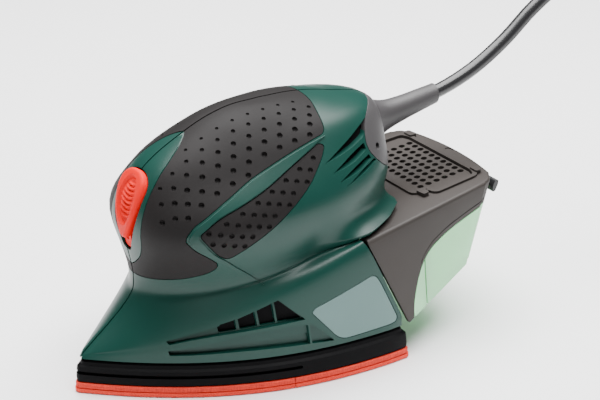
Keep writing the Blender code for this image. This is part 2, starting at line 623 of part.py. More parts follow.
def make_dust_box(cover_mat, clear, filter_mat, dark):
    """Cover with its cheeks, clear bin, grille, pleated filter, seal and latch bar."""
    below_edge = CHEEK_EDGE + [(-30, 0), (-130, 0)]
    cover = box_body("dustbox_cover", cover_mat)
    boolean(cover, side_prism("cheek_cut", below_edge, -70, 70))
    hollow = {"inset": BOX_WALL, "front": -20, "low_t": -0.3, "drop": BOX_WALL}
    boolean(cover, box_body("cover_hollow_cut", cutter=True, **hollow))
    boolean(cover, lid_panel("grille_cut", -68.0, -99.0, 25.0, -6.0, 4.0))

    outer_bin = box_body("dust_bin", clear, front=-60.0)
    above = [(x, z - 0.5) for x, z in CHEEK_EDGE] + [(-30, 120), (-130, 120)]
    boolean(outer_bin, side_prism("bin_edge_cut", above, -70, 70))
    tuck = box_body("bin_tuck_cut", inset=BOX_WALL + 0.5, front=-60.0, low_t=0.02, high_t=0.7, cutter=True)
    boolean(outer_bin, tuck, "UNION")
    hollow = {"inset": BOX_WALL + 1.9, "front": -62.0, "low_t": 0.04, "high_t": 1.2}
    boolean(outer_bin, box_body("bin_hollow_cut", cutter=True, **hollow))
    boolean(outer_bin, bar("inlet_cut", (-66, -10, 28), (-56, 10, 38), cutter=True))

    lid_panel("filter_grille", -69.0, -98.0, 24.4, -BOX_WALL, 0.0, cover_mat)
    pleats(filter_mat)
    outside, inside = rounded_box(12, 7, 2), rounded_box(10.2, 5.4, 1.5)
    rings = ((-59.7, outside), (-57.2, outside), (-57.2, inside), (-59.7, inside))
    loft("box_seal", [[(x, y, PORT_Z + z) for y, z in shape] for x, shape in rings], dark, ring=True)
    flange, outside, inside = rounded_box(12.5, 7.0, 2), rounded_box(10.6, 5.6, 2), rounded_box(9.4, 4.4, 1)
    rings = ((-56.9, outside), (-32.7, outside), (-32.7, flange), (-31.5, flange), (-31.5, inside),
             (-56.9, inside))
    loft("dust_duct", [[(x, y, PORT_Z + z) for y, z in shape] for x, shape in rings], dark, ring=True)
    latch_axis = (-106.5, 0, 56.5)
    profile = [(-105.9, 55.0), (-105.9, 58.0), (-108.6, 61.5), (-110.4, 60.6), (-109.8, 58.4), (-107.6, 55.0)]
    side_prism("box_latch", profile, -30, 30, dark, cutter=False, origin=latch_axis)


def lid_panel(name, front_x, rear_x, half, low, high, mat=None):
    """A flat piece along the cover's top, with heights measured from it; the solid one is perforated."""
    outline = [(rear_x, -half), (front_x, -half), (front_x, half), (rear_x, half)]
    if mat is None:
        panel = loft(name, [level(outline, low), level(outline, high)], cutter=True)
    else:
        cells = []
        for row in range(5):
            count = 7 if row % 2 else 6
            for k in range(count):
                place = (front_x - 4.3 - row * 5.1, (k - (count - 1) / 2) * 6.6)
                cells.append(circle(2.0, 6, place))
        panel = plate(name, [(low, outline), (high, outline)], cells, mat)
    for vert in panel.data.vertices:
        vert.co.z += top_z(vert.co.x / MM) * MM
    return panel


def pleats(mat):
    """Filter element: a folded strip seen in cross-section, run along Y."""
    upper, lower = [], []
    for k in range(13):
        x = -71.5 - k * 2.0
        z = top_z(x) - (4.5 if k % 2 else 12.0)
        upper.append((x, z))
        lower.append((x, z - 1.4))
    side_prism("filter_element", upper + lower[::-1], -22, 22, mat, cutter=False)


# ---- cord ----
def make_cord(grey, black, steel, dark):
    """Sleeve with its cap, clamp, lead, stored coil and plug."""
    centre = [Vector(point) for point in CORD_ROUTE]
    cap = body_form("cord_sleeve", grey)
    boolean(cap, side_prism("sleeve_cap_field", CAP, -40, 40), "INTERSECT")
    boolean(cap, body_form("sleeve_core_cut", inset=WALL, cutter=True))
    # x, half width, half height, middle height
    sections = ((-56.6, 10.0, 12.0, 89.0), (-60.5, 10.0, 12.0, 89.0), (-64, 8.2, 10.2, 89.4),
                (-70, 6.8, 9.0, 90.0), (-80, 5.4, 7.0, 91.4), (-90, 4.8, 5.4, 93.0), (-97.5, 4.6, 4.9, 94.4))
    tube = [[(x, a * wide, z + b * tall) for a, b in circle(1.0, 20)] for x, wide, tall, z in sections]
    boolean(cap, loft("sleeve_tube_cut", tube, cutter=True), "UNION")
    middle = ((-50, 87.8), (-63, 89.6), (-75, 91.3), (-88, 93.2), (-100, 95.4))
    bore = [[(x, a, z + b) for a, b in circle(CORD_D / 2 + 0.4, 16)] for x, z in middle]
    boolean(cap, loft("sleeve_bore_cut", bore, cutter=True))
    path = catmull(centre, 2)
    cord_curve("mains_cord", path, black)
    bar("cord_clamp", (-53, -9, 92.2), (-47, 9, 95.2), dark)
    for side, y in (("left", 6.4), ("right", -6.4)):
        rod(f"clamp_screw_{side}", [(2.6, 95.5), (2.6, 97.5)], steel, (-50, y), 12)
    half = COIL_COLUMNS * (CORD_D + 0.1) / 2
    near, far, high = COIL_R - half, COIL_R + half, 0.3 + COIL_LAYERS * (CORD_D + 0.1)
    turned("cord_coil", [(near, 0.3), (far, 0.3), (far, high), (near, high)], black, (COIL_X, 0), 28)
    body = [(-304, 3.4, 3.4), (-307, 4.4, 4.4), (-322, 6.0, 6.0), (-328, 15.5, 6.8), (-338, 17.6, 6.8),
            (-358, 17.6, 6.8), (-360, 17.0, 6.2)]
    ring = [superpoint(-2 * math.pi * i / 16, 4) for i in range(16)]
    loops = [[(x, PLUG_Y + a * half_y, PLUG_Z + b * half_z) for a, b in ring] for x, half_y, half_z in body]
    loft("mains_plug", loops, black)
    for side, shift in (("left", 9.2), ("right", -9.2)):
        loops = [[(x, PLUG_Y + shift + r * a, PLUG_Z - r * b) for a, b in circle(1.0, 12)]
                 for x, r in ((-360.3, 2.0), (-378.4, 2.0), (-379.3, 1.2))]
        loft(f"plug_pin_{side}", loops, steel)


def cord_curve(name, points, mat):
    curve = bpy.data.curves.new(name, "CURVE")
    curve.dimensions = "3D"
    curve.bevel_depth = CORD_D / 2 * MM
    curve.bevel_resolution = 2
    curve.use_fill_caps = True
    spline = curve.splines.new("POLY")
    spline.points.add(len(points) - 1)
    for target, point in zip(spline.points, points):
        target.co = (*(point * MM), 1.0)
    curve.materials.append(mat)
    obj = bpy.data.objects.new(name, curve)
    bpy.context.scene.collection.objects.link(obj)


def main():
    for obj in list(bpy.data.objects):
        bpy.data.objects.remove(obj)
    green = material("green_plastic", (0.02, 0.12, 0.09), 0.35)
    rubber = material("soft_grip", (0.05, 0.045, 0.045), 0.7)
    red = material("red_plastic", (0.8, 0.06, 0.04), 0.35)
    grey = material("grey_rubber", (0.12, 0.11, 0.12), 0.6)
    dark = material("dark_plastic", (0.06, 0.06, 0.065), 0.5)
    black = material("black_plastic", (0.02, 0.02, 0.022), 0.5)
    cover = material("cover_plastic", (0.15, 0.13, 0.12), 0.45)
    clear = material("clear_green", (0.6, 0.85, 0.7), 0.15, alpha=0.5)
    tag = material("plate_grey", (0.3, 0.36, 0.34), 0.4)
    abrasive = material("abrasive_red", (0.75, 0.12, 0.06), 0.85)
    hook = material("hook_red", (0.7, 0.1, 0.06), 0.8)
    steel = material("steel", (0.6, 0.6, 0.62), 0.3, 1.0)
    copper = material("copper", (0.7, 0.32, 0.18), 0.35, 1.0)
    brass = material("brass", (0.75, 0.58, 0.25), 0.35, 1.0)
    lamination = material("lamination", (0.25, 0.25, 0.27), 0.5, 0.8)
    carbon = material("carbon", (0.05, 0.05, 0.05), 0.7)
    white = material("pale_plastic", (0.75, 0.74, 0.7), 0.5)
    paper = material("filter_paper", (0.8, 0.78, 0.7), 0.9)
    lead = material("lead_black", (0.015, 0.015, 0.018), 0.3)

    make_grips(rubber, tag)
    make_housing(green)
    make_switch(red, grey, dark)
    make_foot(black, hook, abrasive, steel)
    make_motor(steel, copper, dark, lamination, brass, carbon, white)
    make_posts(grey)
    make_screws(steel)
    make_dust_box(cover, clear, paper, dark)
    make_cord(grey, lead, steel, dark)


main()
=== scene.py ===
"""Looks of a corded detail sander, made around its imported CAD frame.

Lengths are in millimetres until a mesh is finished; the frame is the CAD's own: +X to the nose,
+Y to the tool's left, +Z up, with the origin on the motor's axis under the sanding sheet.
"""
import json
import math

import bmesh
import bpy
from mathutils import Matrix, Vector
from mathutils.bvhtree import BVHTree
from mathutils.geometry import tessellate_polygon

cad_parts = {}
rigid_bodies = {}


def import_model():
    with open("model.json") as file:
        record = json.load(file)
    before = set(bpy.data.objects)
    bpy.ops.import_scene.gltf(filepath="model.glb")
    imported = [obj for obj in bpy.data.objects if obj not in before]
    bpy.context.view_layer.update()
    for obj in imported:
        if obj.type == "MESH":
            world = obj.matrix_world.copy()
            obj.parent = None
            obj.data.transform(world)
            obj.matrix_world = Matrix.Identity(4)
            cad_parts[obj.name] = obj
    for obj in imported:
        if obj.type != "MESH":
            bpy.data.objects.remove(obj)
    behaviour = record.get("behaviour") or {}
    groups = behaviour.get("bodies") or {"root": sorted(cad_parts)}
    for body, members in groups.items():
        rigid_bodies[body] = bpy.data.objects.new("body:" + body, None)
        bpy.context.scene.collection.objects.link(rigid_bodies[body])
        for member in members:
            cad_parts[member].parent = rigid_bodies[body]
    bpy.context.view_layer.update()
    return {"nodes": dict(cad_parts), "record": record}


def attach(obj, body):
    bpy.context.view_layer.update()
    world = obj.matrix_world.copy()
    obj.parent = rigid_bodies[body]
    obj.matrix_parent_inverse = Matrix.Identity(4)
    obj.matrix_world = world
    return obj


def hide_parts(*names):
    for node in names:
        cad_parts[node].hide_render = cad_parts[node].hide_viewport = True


for leftover in list(bpy.data.objects):
    bpy.data.objects.remove(leftover)
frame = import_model()
MM = 0.001
LOOKS = {}  # one material for each slot of the record

# ---- the CAD's driving dimensions (mm) ----
NOSE_X = 84.0
REAR_X = -48.5
HALF_WIDTH = 51.0
WIDEST_X = -38.0
OUTLINE_POWER = 2.38
NOSE_R = 2.5
CORNER_R = 2.5
SHEET_Z = (0.0, 1.6)
PAD_Z = (1.9, 4.3)
SKIRT_Z = 14.8
RIM_INSET = 2.2
RIM_NOSE_R = 3.5
AXIS_X = -5.0
TOP_Z = 110.5
GRIP_T = 1.6
GROOVE = 0.35
SEAM = 0.1
SPLIT_X = 7.4
SPLIT_BOW = 5.0
BOX_FRONT_X = (-48.6, -29.4)
BOX_REAR_X = (-93.5, -103.5)
BOX_LOW_Z = (15.5, 29.5)
BOX_HIGH_Z = (56.0, 64.5)
BOX_HALF_FRONT = (49.0, 44.0)
BOX_HALF_REAR = 35.0
BOX_BULGE = 4.5
BOX_WALL = 1.8
TRACK_X, TRACK_Z = 14.3, 65.8
TRACK_R = 44.6
CORD_D = 6.2
COIL_X = -275.0
COIL_R = 36.0
PLUG_Y, PLUG_Z = 44.2, 6.85


# ---- camera ----
def make_camera():
    data = bpy.data.cameras.new("camera")
    data.lens = 105
    data.sensor_width = 36
    data.clip_start = 0.01
    camera = bpy.data.objects.new("camera", data)
    bpy.context.scene.collection.objects.link(camera)
    alpha, elevation, distance = math.radians(32.7), math.radians(24), 0.770
    target = Vector((-0.0365, -0.0178, 0.050))
    back = Vector((math.sin(alpha) * math.cos(elevation), math.cos(alpha) * math.cos(elevation),
                   math.sin(elevation)))
    camera.location = target + back * distance
    camera.rotation_euler = back.to_track_quat("Z", "Y").to_euler()
    bpy.context.scene.camera = camera


# ---- node materials ----
class Shader:
    """A Principled material with a short way to add procedural nodes."""

    def __init__(self, name, roughness=0.5, **sockets):
        self.mat = bpy.data.materials.new(name)
        self.mat.use_nodes = True
        self.nodes = self.mat.node_tree.nodes
        self.links = self.mat.node_tree.links
        self.shader = self.nodes["Principled BSDF"]
        self.shader.inputs["Roughness"].default_value = roughness
        for socket, value in sockets.items():
            self.shader.inputs[socket.replace("_", " ")].default_value = value
        self.coords = self.nodes.new("ShaderNodeTexCoord").outputs["Object"]

    def noise(self, scale, detail=3.0, rough=0.5, stretch=None):
        node = self.nodes.new("ShaderNodeTexNoise")
        node.inputs["Scale"].default_value = scale
        node.inputs["Detail"].default_value = detail
        node.inputs["Roughness"].default_value = rough
        source = self.coords
        if stretch:
            mapping = self.nodes.new("ShaderNodeMapping")
            mapping.inputs["Scale"].default_value = stretch
            self.links.new(source, mapping.inputs["Vector"])
            source = mapping.outputs["Vector"]
        self.links.new(source, node.inputs["Vector"])
        return node.outputs["Fac"]

    def ramp(self, fac, stops):
        node = self.nodes.new("ShaderNodeValToRGB")
        elements = node.color_ramp.elements
        while len(elements) < len(stops):
            elements.new(0.5)
        for element, (place, colour) in zip(elements, stops):
            element.position = place
            element.color = (*colour, 1.0)
        self.links.new(fac, node.inputs["Fac"])
        return node.outputs["Color"]

    def spread(self, fac, low, high):
        node = self.nodes.new("ShaderNodeMapRange")
        node.inputs["To Min"].default_value = low
        node.inputs["To Max"].default_value = high
        self.links.new(fac, node.inputs["Value"])
        return node.outputs["Result"]

    def bump(self, height, strength, distance):
        node = self.nodes.new("ShaderNodeBump")
        node.inputs["Strength"].default_value = strength
        node.inputs["Distance"].default_value = distance
        self.links.new(height, node.inputs["Height"])
        self.links.new(node.outputs["Normal"], self.shader.inputs["Normal"])

    def colour(self, source):
        self.links.new(source, self.shader.inputs["Base Color"])

    def rough(self, source):
        self.links.new(source, self.shader.inputs["Roughness"])


def grained(name, dark, light, roughness, grain=900.0, depth=0.00006, strength=0.35, **sockets):
    """Moulded plastic or rubber: fine grain, slow colour drift and uneven gloss."""
    s = Shader(name, roughness, **sockets)
    drift = s.noise(14.0, 4.0)
    s.colour(s.ramp(drift, ((0.3, dark), (0.7, light))))
    s.rough(s.spread(s.noise(60.0, 3.0), roughness - 0.05, roughness + 0.05))
    s.bump(s.noise(grain, 2.0, 0.6), strength, depth)
    return s.mat


def brushed(name, dark, light, roughness, metallic=1.0, stretch=(1, 1, 14)):
    """Turned or drawn metal with fine lines."""
    s = Shader(name, roughness, Metallic=metallic)
    lines = s.noise(400.0, 3.0, 0.6, stretch)
    s.colour(s.ramp(lines, ((0.25, dark), (0.75, light))))
    s.rough(s.spread(lines, roughness - 0.06, roughness + 0.1))
    s.bump(lines, 0.15, 0.00003)
    return s.mat


# ---- mesh helpers ----
def finish(name, bm):
    """Turn a bmesh given in millimetres into a linked object in metres."""
    bmesh.ops.scale(bm, verts=bm.verts, vec=(MM, MM, MM))
    bmesh.ops.recalc_face_normals(bm, faces=bm.faces)
    mesh = bpy.data.meshes.new(name)
    bm.to_mesh(mesh)
    bm.free()
    obj = bpy.data.objects.new(name, mesh)
    bpy.context.scene.collection.objects.link(obj)
    return obj


def loft_bmesh(loops, ring=False):
    bm = bmesh.new()
    rows = [[bm.verts.new(p) for p in loop] for loop in loops]
    count = len(loops[0])
    pairs = list(zip(rows[:-1], rows[1:]))
    if ring:
        pairs.append((rows[-1], rows[0]))
    for low, high in pairs:
        for i in range(count):
            j = (i + 1) % count
            bm.faces.new((low[i], low[j], high[j], high[i]))
    if not ring:
        bm.faces.new(rows[0][::-1])
        bm.faces.new(rows[-1])
    return bm


def loft(name, loops, ring=False):
    return finish(name, loft_bmesh(loops, ring))


def level(loop, z):
    return [(x, y, z) for x, y in loop]


def circle(radius, count=32, centre=(0.0, 0.0)):
    steps = [2 * math.pi * i / count for i in range(count)]
    return [(centre[0] + radius * math.cos(a), centre[1] + radius * math.sin(a)) for a in steps]


def rounded_box(half_a, half_b, radius, steps=6):
    points = []
    for k, (sa, sb) in enumerate(((1, 1), (-1, 1), (-1, -1), (1, -1))):
        for i in range(steps + 1):
            a = math.pi / 2 * (k + i / steps)
            points.append((sa * (half_a - radius) + radius * math.cos(a),
                           sb * (half_b - radius) + radius * math.sin(a)))
    return points


def superpoint(angle, power):
    c, s = math.cos(angle), math.sin(angle)
    radius = (abs(c) ** power + abs(s) ** power) ** (-1.0 / power)
    return c * radius, s * radius


def ccw(outline):
    area = sum(a[0] * b[1] - b[0] * a[1] for a, b in zip(outline, outline[1:] + outline[:1]))
    return outline if area > 0 else outline[::-1]


def offset(loop, distance):
    """Move a counter-clockwise outline inwards by a distance."""
    moved = []
    for i, (x, y) in enumerate(loop):
        before = Vector((x - loop[i - 1][0], y - loop[i - 1][1])).normalized()
        after_point = loop[(i + 1) % len(loop)]
        after = Vector((after_point[0] - x, after_point[1] - y)).normalized()
        normal = Vector((-before.y - after.y, before.x + after.x)).normalized()
        stretch = max(normal.dot(Vector((-before.y, before.x))), 0.4)
        moved.append((x + normal.x * distance / stretch, y + normal.y * distance / stretch))
    return moved


def catmull(points, steps):
    padded = [2 * points[0] - points[1], *points, 2 * points[-1] - points[-2]]
    out = []
    for a, b, c, d in zip(padded, padded[1:], padded[2:], padded[3:]):
        for k in range(steps):
            t = k / steps
            out.append(0.5 * (2 * b + (c - a) * t + (2 * a - 5 * b + 4 * c - d) * t * t
                              + (3 * b - a - 3 * c + d) * t ** 3))
    return out + [points[-1]]


def rounded(outline, radius, steps=5):
    """Round each corner of a closed outline; a corner may carry its own radius as a third number."""
    out = []
    count = len(outline)
    for i, point in enumerate(outline):
        corner = Vector(point[:2])
        reach = point[2] if len(point) > 2 else radius
        before = Vector(outline[i - 1][:2]) - corner
        after = Vector(outline[(i + 1) % count][:2]) - corner
        cut_at = min(reach, 0.45 * before.length, 0.45 * after.length)
        start, end = corner + before.normalized() * cut_at, corner + after.normalized() * cut_at
        for k in range(steps + 1):
            t = k / steps
            p = start * (1 - t) ** 2 + corner * 2 * t * (1 - t) + end * t ** 2
            out.append((p.x, p.y))
    return out


def side_prism(name, outline, y_low, y_high):
    """An outline of (x, z) points in side view, run along Y."""
    return loft(name, [[(x, y, z) for x, z in outline] for y in (y_low, y_high)])


def front_prism(name, outline, x_low, x_high):
    """An outline of (y, z) points seen from the front, run along X."""
    return loft(name, [[(x, y, z) for y, z in outline] for x in (x_low, x_high)])


def block(name, low, high):
    outline = [(low[0], low[1]), (high[0], low[1]), (high[0], high[1]), (low[0], high[1])]
    return loft(name, [level(outline, low[2]), level(outline, high[2])])


def carve(obj, tools, operation="DIFFERENCE"):
    """Apply Booleans one after another, and drop the tools."""
    for tool in tools:
        modifier = obj.modifiers.new("carve", "BOOLEAN")
        modifier.operation = operation
        modifier.solver = "MANIFOLD"
        modifier.object = tool
    depsgraph = bpy.context.evaluated_depsgraph_get()
    mesh = bpy.data.meshes.new_from_object(obj.evaluated_get(depsgraph))
    obj.modifiers.clear()
    obj.data = mesh
    for tool in tools:
        bpy.data.objects.remove(tool)
    return obj


def join_bmesh(parts):
    """One bmesh from several closed ones that stay apart."""
    whole = bmesh.new()
    for part in parts:
        lookup = [whole.verts.new(v.co) for v in part.verts]
        part.verts.index_update()
        for face in part.faces:
            whole.faces.new([lookup[v.index] for v in face.verts])
        part.free()
    return whole


def smooth(obj, angle=32.0):
    """Smooth shading with edges sharper than the angle kept crisp."""
    mesh = obj.data
    mesh.shade_smooth()
    mesh.set_sharp_from_angle(angle=math.radians(angle))
    return obj


def mirrored(obj, name):
    """A copy on the tool's other side."""
    copy = bpy.data.objects.new(name, obj.data.copy())
    bm = bmesh.new()
    bm.from_mesh(copy.data)
    bmesh.ops.scale(bm, verts=bm.verts, vec=(1, -1, 1))
    bmesh.ops.reverse_faces(bm, faces=bm.faces)
    bm.to_mesh(copy.data)
    bm.free()
    bpy.context.scene.collection.objects.link(copy)
    return copy


def painted(obj, slot):
    """Give an object its slot's material."""
    obj.data.materials.clear()
    obj.data.materials.append(LOOKS[slot])


def placed(obj, body, slot, *nodes):
    """Let a piece ride on its body, take its slot's material and hide the CAD nodes it stands for."""
    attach(obj, body)
    painted(obj, slot)
    if nodes:
        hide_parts(*nodes)
    return obj


# ---- the foot's outline and the housing's surface ----
def half_outline(inset=0.0, nose_r=NOSE_R):
    """From the nose to the middle of the rear edge, on the left side."""
    nose, half, rear = NOSE_X - 1.3 * inset, HALF_WIDTH - inset, REAR_X + inset
    points = [(nose - nose_r + nose_r * math.cos(a), nose_r * math.sin(a))
              for a in (math.radians(9 * k) for k in range(6))]
    start_x, start_y = points[-1]
    start_share = (1 - start_y / half) ** (1 / OUTLINE_POWER)
    apex = WIDEST_X + (start_x - WIDEST_X) / start_share
    for k in range(1, 45):
        x = start_x + (WIDEST_X - start_x) * (k / 44) ** 1.25
        share = max((x - WIDEST_X) / (apex - WIDEST_X), 0.0)
        points.append((x, half * (1 - share ** OUTLINE_POWER)))
    centre = (rear + CORNER_R, half - 0.4 - CORNER_R)
    for a in (110, 127, 145, 162, 180):
        points.append((centre[0] + CORNER_R * math.cos(math.radians(a)),
                       centre[1] + CORNER_R * math.sin(math.radians(a))))
    points += [(rear, half * (0.88 - 0.08 * k)) for k in range(12)]
    return points[:-1] + [(rear, 0.0)]


def full_outline(inset=0.0, nose_r=NOSE_R):
    left = half_outline(inset, nose_r)
    return left + [(x, -y) for x, y in left[-2:0:-1]]


def oval(angle, front, rear, side, front_power, rear_power):
    c, s = math.cos(angle), abs(math.sin(angle))
    length, power = (front, front_power) if c > 0 else (rear, rear_power)
    return (abs(c / length) ** power + (s / side) ** power) ** (-1.0 / power)


# rear ledge that reaches out over the dust box: its edge in plan, and the heights of its rows
LEDGE = [(-57.2, -30), (-57.2, 24), (-55.6, 28.5), (-51.5, 32), (-46, 36.6), (-34, 42.4), (-25, 45.3), (-8, 46.5)]
LEDGE_X, LEDGE_Z = -28.4, 58.8
LEDGE_SLOPE = 0.1137
LEDGE_ROWS = (-0.3, -0.02, 0.0, 0.35, 0.9, 1.8, 3.2, 5.2, 8.0, 12.0)


def ledge_reach(angle):
    """How far from the axis the ledge's edge is in this direction."""
    ray = Vector((math.cos(angle), math.sin(angle)))
    for a, b in zip(LEDGE, LEDGE[1:]):
        start, step = Vector((a[0] - AXIS_X, a[1])), Vector((b[0] - a[0], b[1] - a[1]))
        across = ray.x * step.y - ray.y * step.x
        share = (start.y * ray.x - start.x * ray.y) / -across if across else -1
        if 0 <= share <= 1:
            return (start + share * step).dot(ray)
    return 0.0


def with_ledge(angle, section, steps, inset):
    """A section with rows gathered at the ledge's edge, and the ledge's reach added over the dust box."""
    begin, full = math.radians(92), math.radians(127)
    reach = ledge_reach(angle) - inset
    edge_x = AXIS_X + reach * math.cos(min(max(angle, begin), math.pi))
    edge_z = LEDGE_Z - LEDGE_SLOPE * (edge_x - LEDGE_X) - inset
    share = min(max((angle - begin) / (full - begin), 0.0), 1.0)
    fade = share * share * (3 - 2 * share)
    heights = [z for _, z in section]

    def at(position):
        k = min(int(position), len(section) - 2)
        return Vector(section[k]).lerp(Vector(section[k + 1]), position - k)

    def crossing(z):
        k = next(i for i in range(len(heights) - 1) if heights[i + 1] > z)
        return k + max(z - heights[k], 0.0) / (heights[k + 1] - heights[k])

    low, high = crossing(edge_z + LEDGE_ROWS[0]), crossing(edge_z + LEDGE_ROWS[-1])
    below = [at(low * k / (4 * steps)) for k in range(4 * steps)]
    middle = [at(crossing(edge_z + step)) for step in LEDGE_ROWS]
    above = [at(high + (len(section) - 1 - high) * k / (4 * steps)) for k in range(1, 4 * steps + 1)]
    points = []
    for radius, z in below + middle + above:
        over = z - edge_z
        grown_by = max(reach - radius, 0.0) * fade
        under = min(max(1 + over / 9.0, 0.0), 1.0)
        sweep = max(1 - over / (LEDGE_ROWS[-1] + 16.0 * (1 - fade)), 0.0) ** (1.6 + 1.6 * fade)
        grown_by *= sweep if over > 0 else under * under * (3 - 2 * under)
        points.append((radius + grown_by, z))
    return points


def upright_section(x, y, steps, inset):
    """(radius, z) points up the housing, above the outline point (x, y)."""
    angle = math.atan2(abs(y), x - AXIS_X)
    foot = math.hypot(x - AXIS_X, y)
    front = (1 + math.cos(angle)) / 2
    top = TOP_Z - inset
    crease_z = 19 + 0.33 * (79 - max(x, -30)) - 0.8 * inset
    waist = oval(angle, 60.6, 52, 36, 1.9, 2.4) - inset
    bulge = oval(angle, 63.9, 56, 40, 2.75, 2.4) - inset
    shoulder = oval(angle, 55.9, 54, 27.2, 2.42, 2.2) - 0.75 * inset
    waist_z = 45.3 * front + 62 * (1 - front)
    bulge_z = 70 * front + 80 * (1 - front)
    shoulder_z = 90 * front + 100.5 * (1 - front) - 0.6 * inset
    rise = top - shoulder_z
    points = [(foot, SKIRT_Z), (foot - 1.2, (SKIRT_Z + crease_z) / 2), (foot - 3.2, crease_z),
              (waist + 0.15 * (foot - waist), crease_z + 0.6 * (waist_z - crease_z)),
              (waist, waist_z), (bulge, bulge_z), (shoulder, shoulder_z),
              (0.62 * shoulder, shoulder_z + 0.65 * rise), (0.3 * shoulder, shoulder_z + 0.95 * rise),
              (0.01, top)]
    return with_ledge(angle, [tuple(p) for p in catmull([Vector(p) for p in points], 12)], steps, inset)


def body_bmesh(inset=0.0, steps=7, bottom=None):
    """The whole housing as one closed form, made smaller all round by an inset."""
    outline = full_outline(RIM_INSET + inset, max(RIM_NOSE_R - 0.4 * inset, 1.5))
    columns = [upright_section(x, y, steps, inset) for x, y in outline]
    bm = bmesh.new()
    grid = []
    for k in range(len(columns[0]) - 1):
        row = []
        for (x, y), column in zip(outline, columns):
            direction = Vector((x - AXIS_X, y)).normalized()
            radius, z = column[k]
            if k == 0 and bottom is not None:
                z = bottom
            row.append(bm.verts.new((AXIS_X + direction.x * radius, direction.y * radius, z)))
        grid.append(row)
    top = bm.verts.new((AXIS_X, 0, TOP_Z - inset))
    count = len(outline)
    for low, high in zip(grid[:-1], grid[1:]):
        for i in range(count):
            j = (i + 1) % count
            if i < count // 2:
                bm.faces.new((low[i], low[j], high[j]))
                bm.faces.new((low[i], high[j], high[i]))
            else:
                bm.faces.new((low[i], low[j], high[i]))
                bm.faces.new((low[j], high[j], high[i]))
    for i in range(count):
        bm.faces.new((grid[-1][i], grid[-1][(i + 1) % count], top))
    bm.faces.new(grid[0][::-1])
    return bm


def body_form(name, inset=0.0, bottom=None, steps=7):
    return finish(name, body_bmesh(inset, steps, bottom))


def skin_piece(name, outline, depth, proud=0.0, low=SEAM, surround=None):
    """The left skin inside a side-view outline, from proud of the surface down to a depth."""
    piece = body_form(name, inset=-proud)
    carve(piece, [side_prism("field", outline, low, 80)], "INTERSECT")
    tools = [body_form("core", inset=depth, bottom=5.0)]
    if surround:
        tools.append(front_prism("surround", surround, 20, 90))
    return carve(piece, tools)


# ---- side-view outlines (x, z) of what lies in the housing's skin ----
TOP_GRIP = [(-23.7, 118, 0.5), (-23.7, 109, 2), (-22.4, 105.6, 2), (-21, 99.8, 2.2), (-14, 98.4, 6), (-3.8, 95.7, 6),
            (7.7, 92.1, 6), (17.1, 89, 6), (33, 81.5, 6), (44, 75.3, 3), (47.7, 70, 2.5), (43.6, 65.2, 2),
            (38.6, 61.6, 2), (34.2, 57.8, 1.4), (34.5, 55.1, 1.2), (37.2, 52.8, 2), (43.1, 50.3, 3), (48.6, 48.7, 3),
            (53.4, 47.5, 3), (58, 46.5, 1), (72, 46.3, 0.5), (72, 118, 0.5)]
SIDE_GRIP = [(42.2, 72, 2), (33.8, 77.5, 5), (24.6, 80.4, 6), (11.2, 85, 6), (-4, 91.6, 6), (-16.4, 96.6, 1.5),
             (-18.6, 95.6, 1.8), (-15.9, 92.2, 5), (-7.8, 84.7, 6), (-1.6, 80.3, 6), (5.9, 75.6, 6), (19.1, 67.4, 5),
             (30.6, 60, 2.2), (34.5, 62.1, 3), (38.4, 66.8, 3)]
# the raised band: between the grips, then down past the lens into the flank
BAND = [(-20.5, 98.9, 0.4), (-12, 97.3, 4), (-3.6, 95.0, 5), (7.9, 91.4, 5), (17.3, 88.3, 5), (32.8, 80.8, 5),
        (43.6, 74.6, 2.4), (46.6, 70, 2), (42.9, 65.9, 2), (38.1, 62.4, 2), (33.2, 58.2, 2), (27.5, 54, 3),
        (21, 49.4, 4), (14.6, 44.6, 0.4), (21.6, 50.8, 4), (27, 55.1, 3), (31.6, 59.2, 1), (36.4, 62.6, 3),
        (40, 67, 2.4), (43.2, 71.8, 1.6), (34.6, 78.2, 5), (24.9, 81.2, 5), (11.5, 85.8, 5), (-3.7, 92.4, 5),
        (-16, 97.5, 3)]
REAR_VENTS = [[(-16.1, 89.6, 0.4), (-29.3, 91.8, 6), (-39.9, 94.4, 1), (-44.5, 99.9, 1), (-37.9, 97.9, 6),
               (-26, 93.6, 6)],
              [(-18.4, 85.7, 0.4), (-29, 86.9, 6), (-38.8, 89.8, 0.6), (-38.5, 92.4, 0.6), (-30.8, 90.6, 5),
               (-23, 87.6, 3)],
              [(-20.5, 82, 0.3), (-31.2, 83.5, 5), (-40.4, 86.2, 0.5), (-39.4, 87.9, 0.5), (-31.6, 86.2, 4),
               (-24, 83.5, 2)],
              [(-23.2, 79.8, 0.3), (-36.4, 82.9, 5), (-43.2, 84.6, 0.3), (-42, 85.6, 0.3), (-34.3, 84, 4)]]
SIDE_RECESS = [(53.2, 23.9, 0.4), (46.3, 26.1, 4), (34.7, 29.9, 3), (26, 33, 4), (11, 39, 0.7), (0.6, 29, 0.7),
               (7.4, 28.6, 3), (19.6, 27.6, 4), (34.6, 26.1, 4), (44.4, 24.4, 4), (52.3, 22.4, 0.5)]
SIDE_VENTS = [[(34.2, 30.5), (27.5, 32.6), (27.2, 27.3), (34, 26.6)],
              [(26.5, 32.9), (20, 35.5), (19.3, 28.1), (26.1, 27.4)],
              [(19.1, 35.8), (13, 38.2), (12.2, 28.7), (18.4, 28.2)],
              [(12.2, 38.3), (11, 38.6), (1.4, 29.3), (7.4, 29), (11.4, 28.8)]]
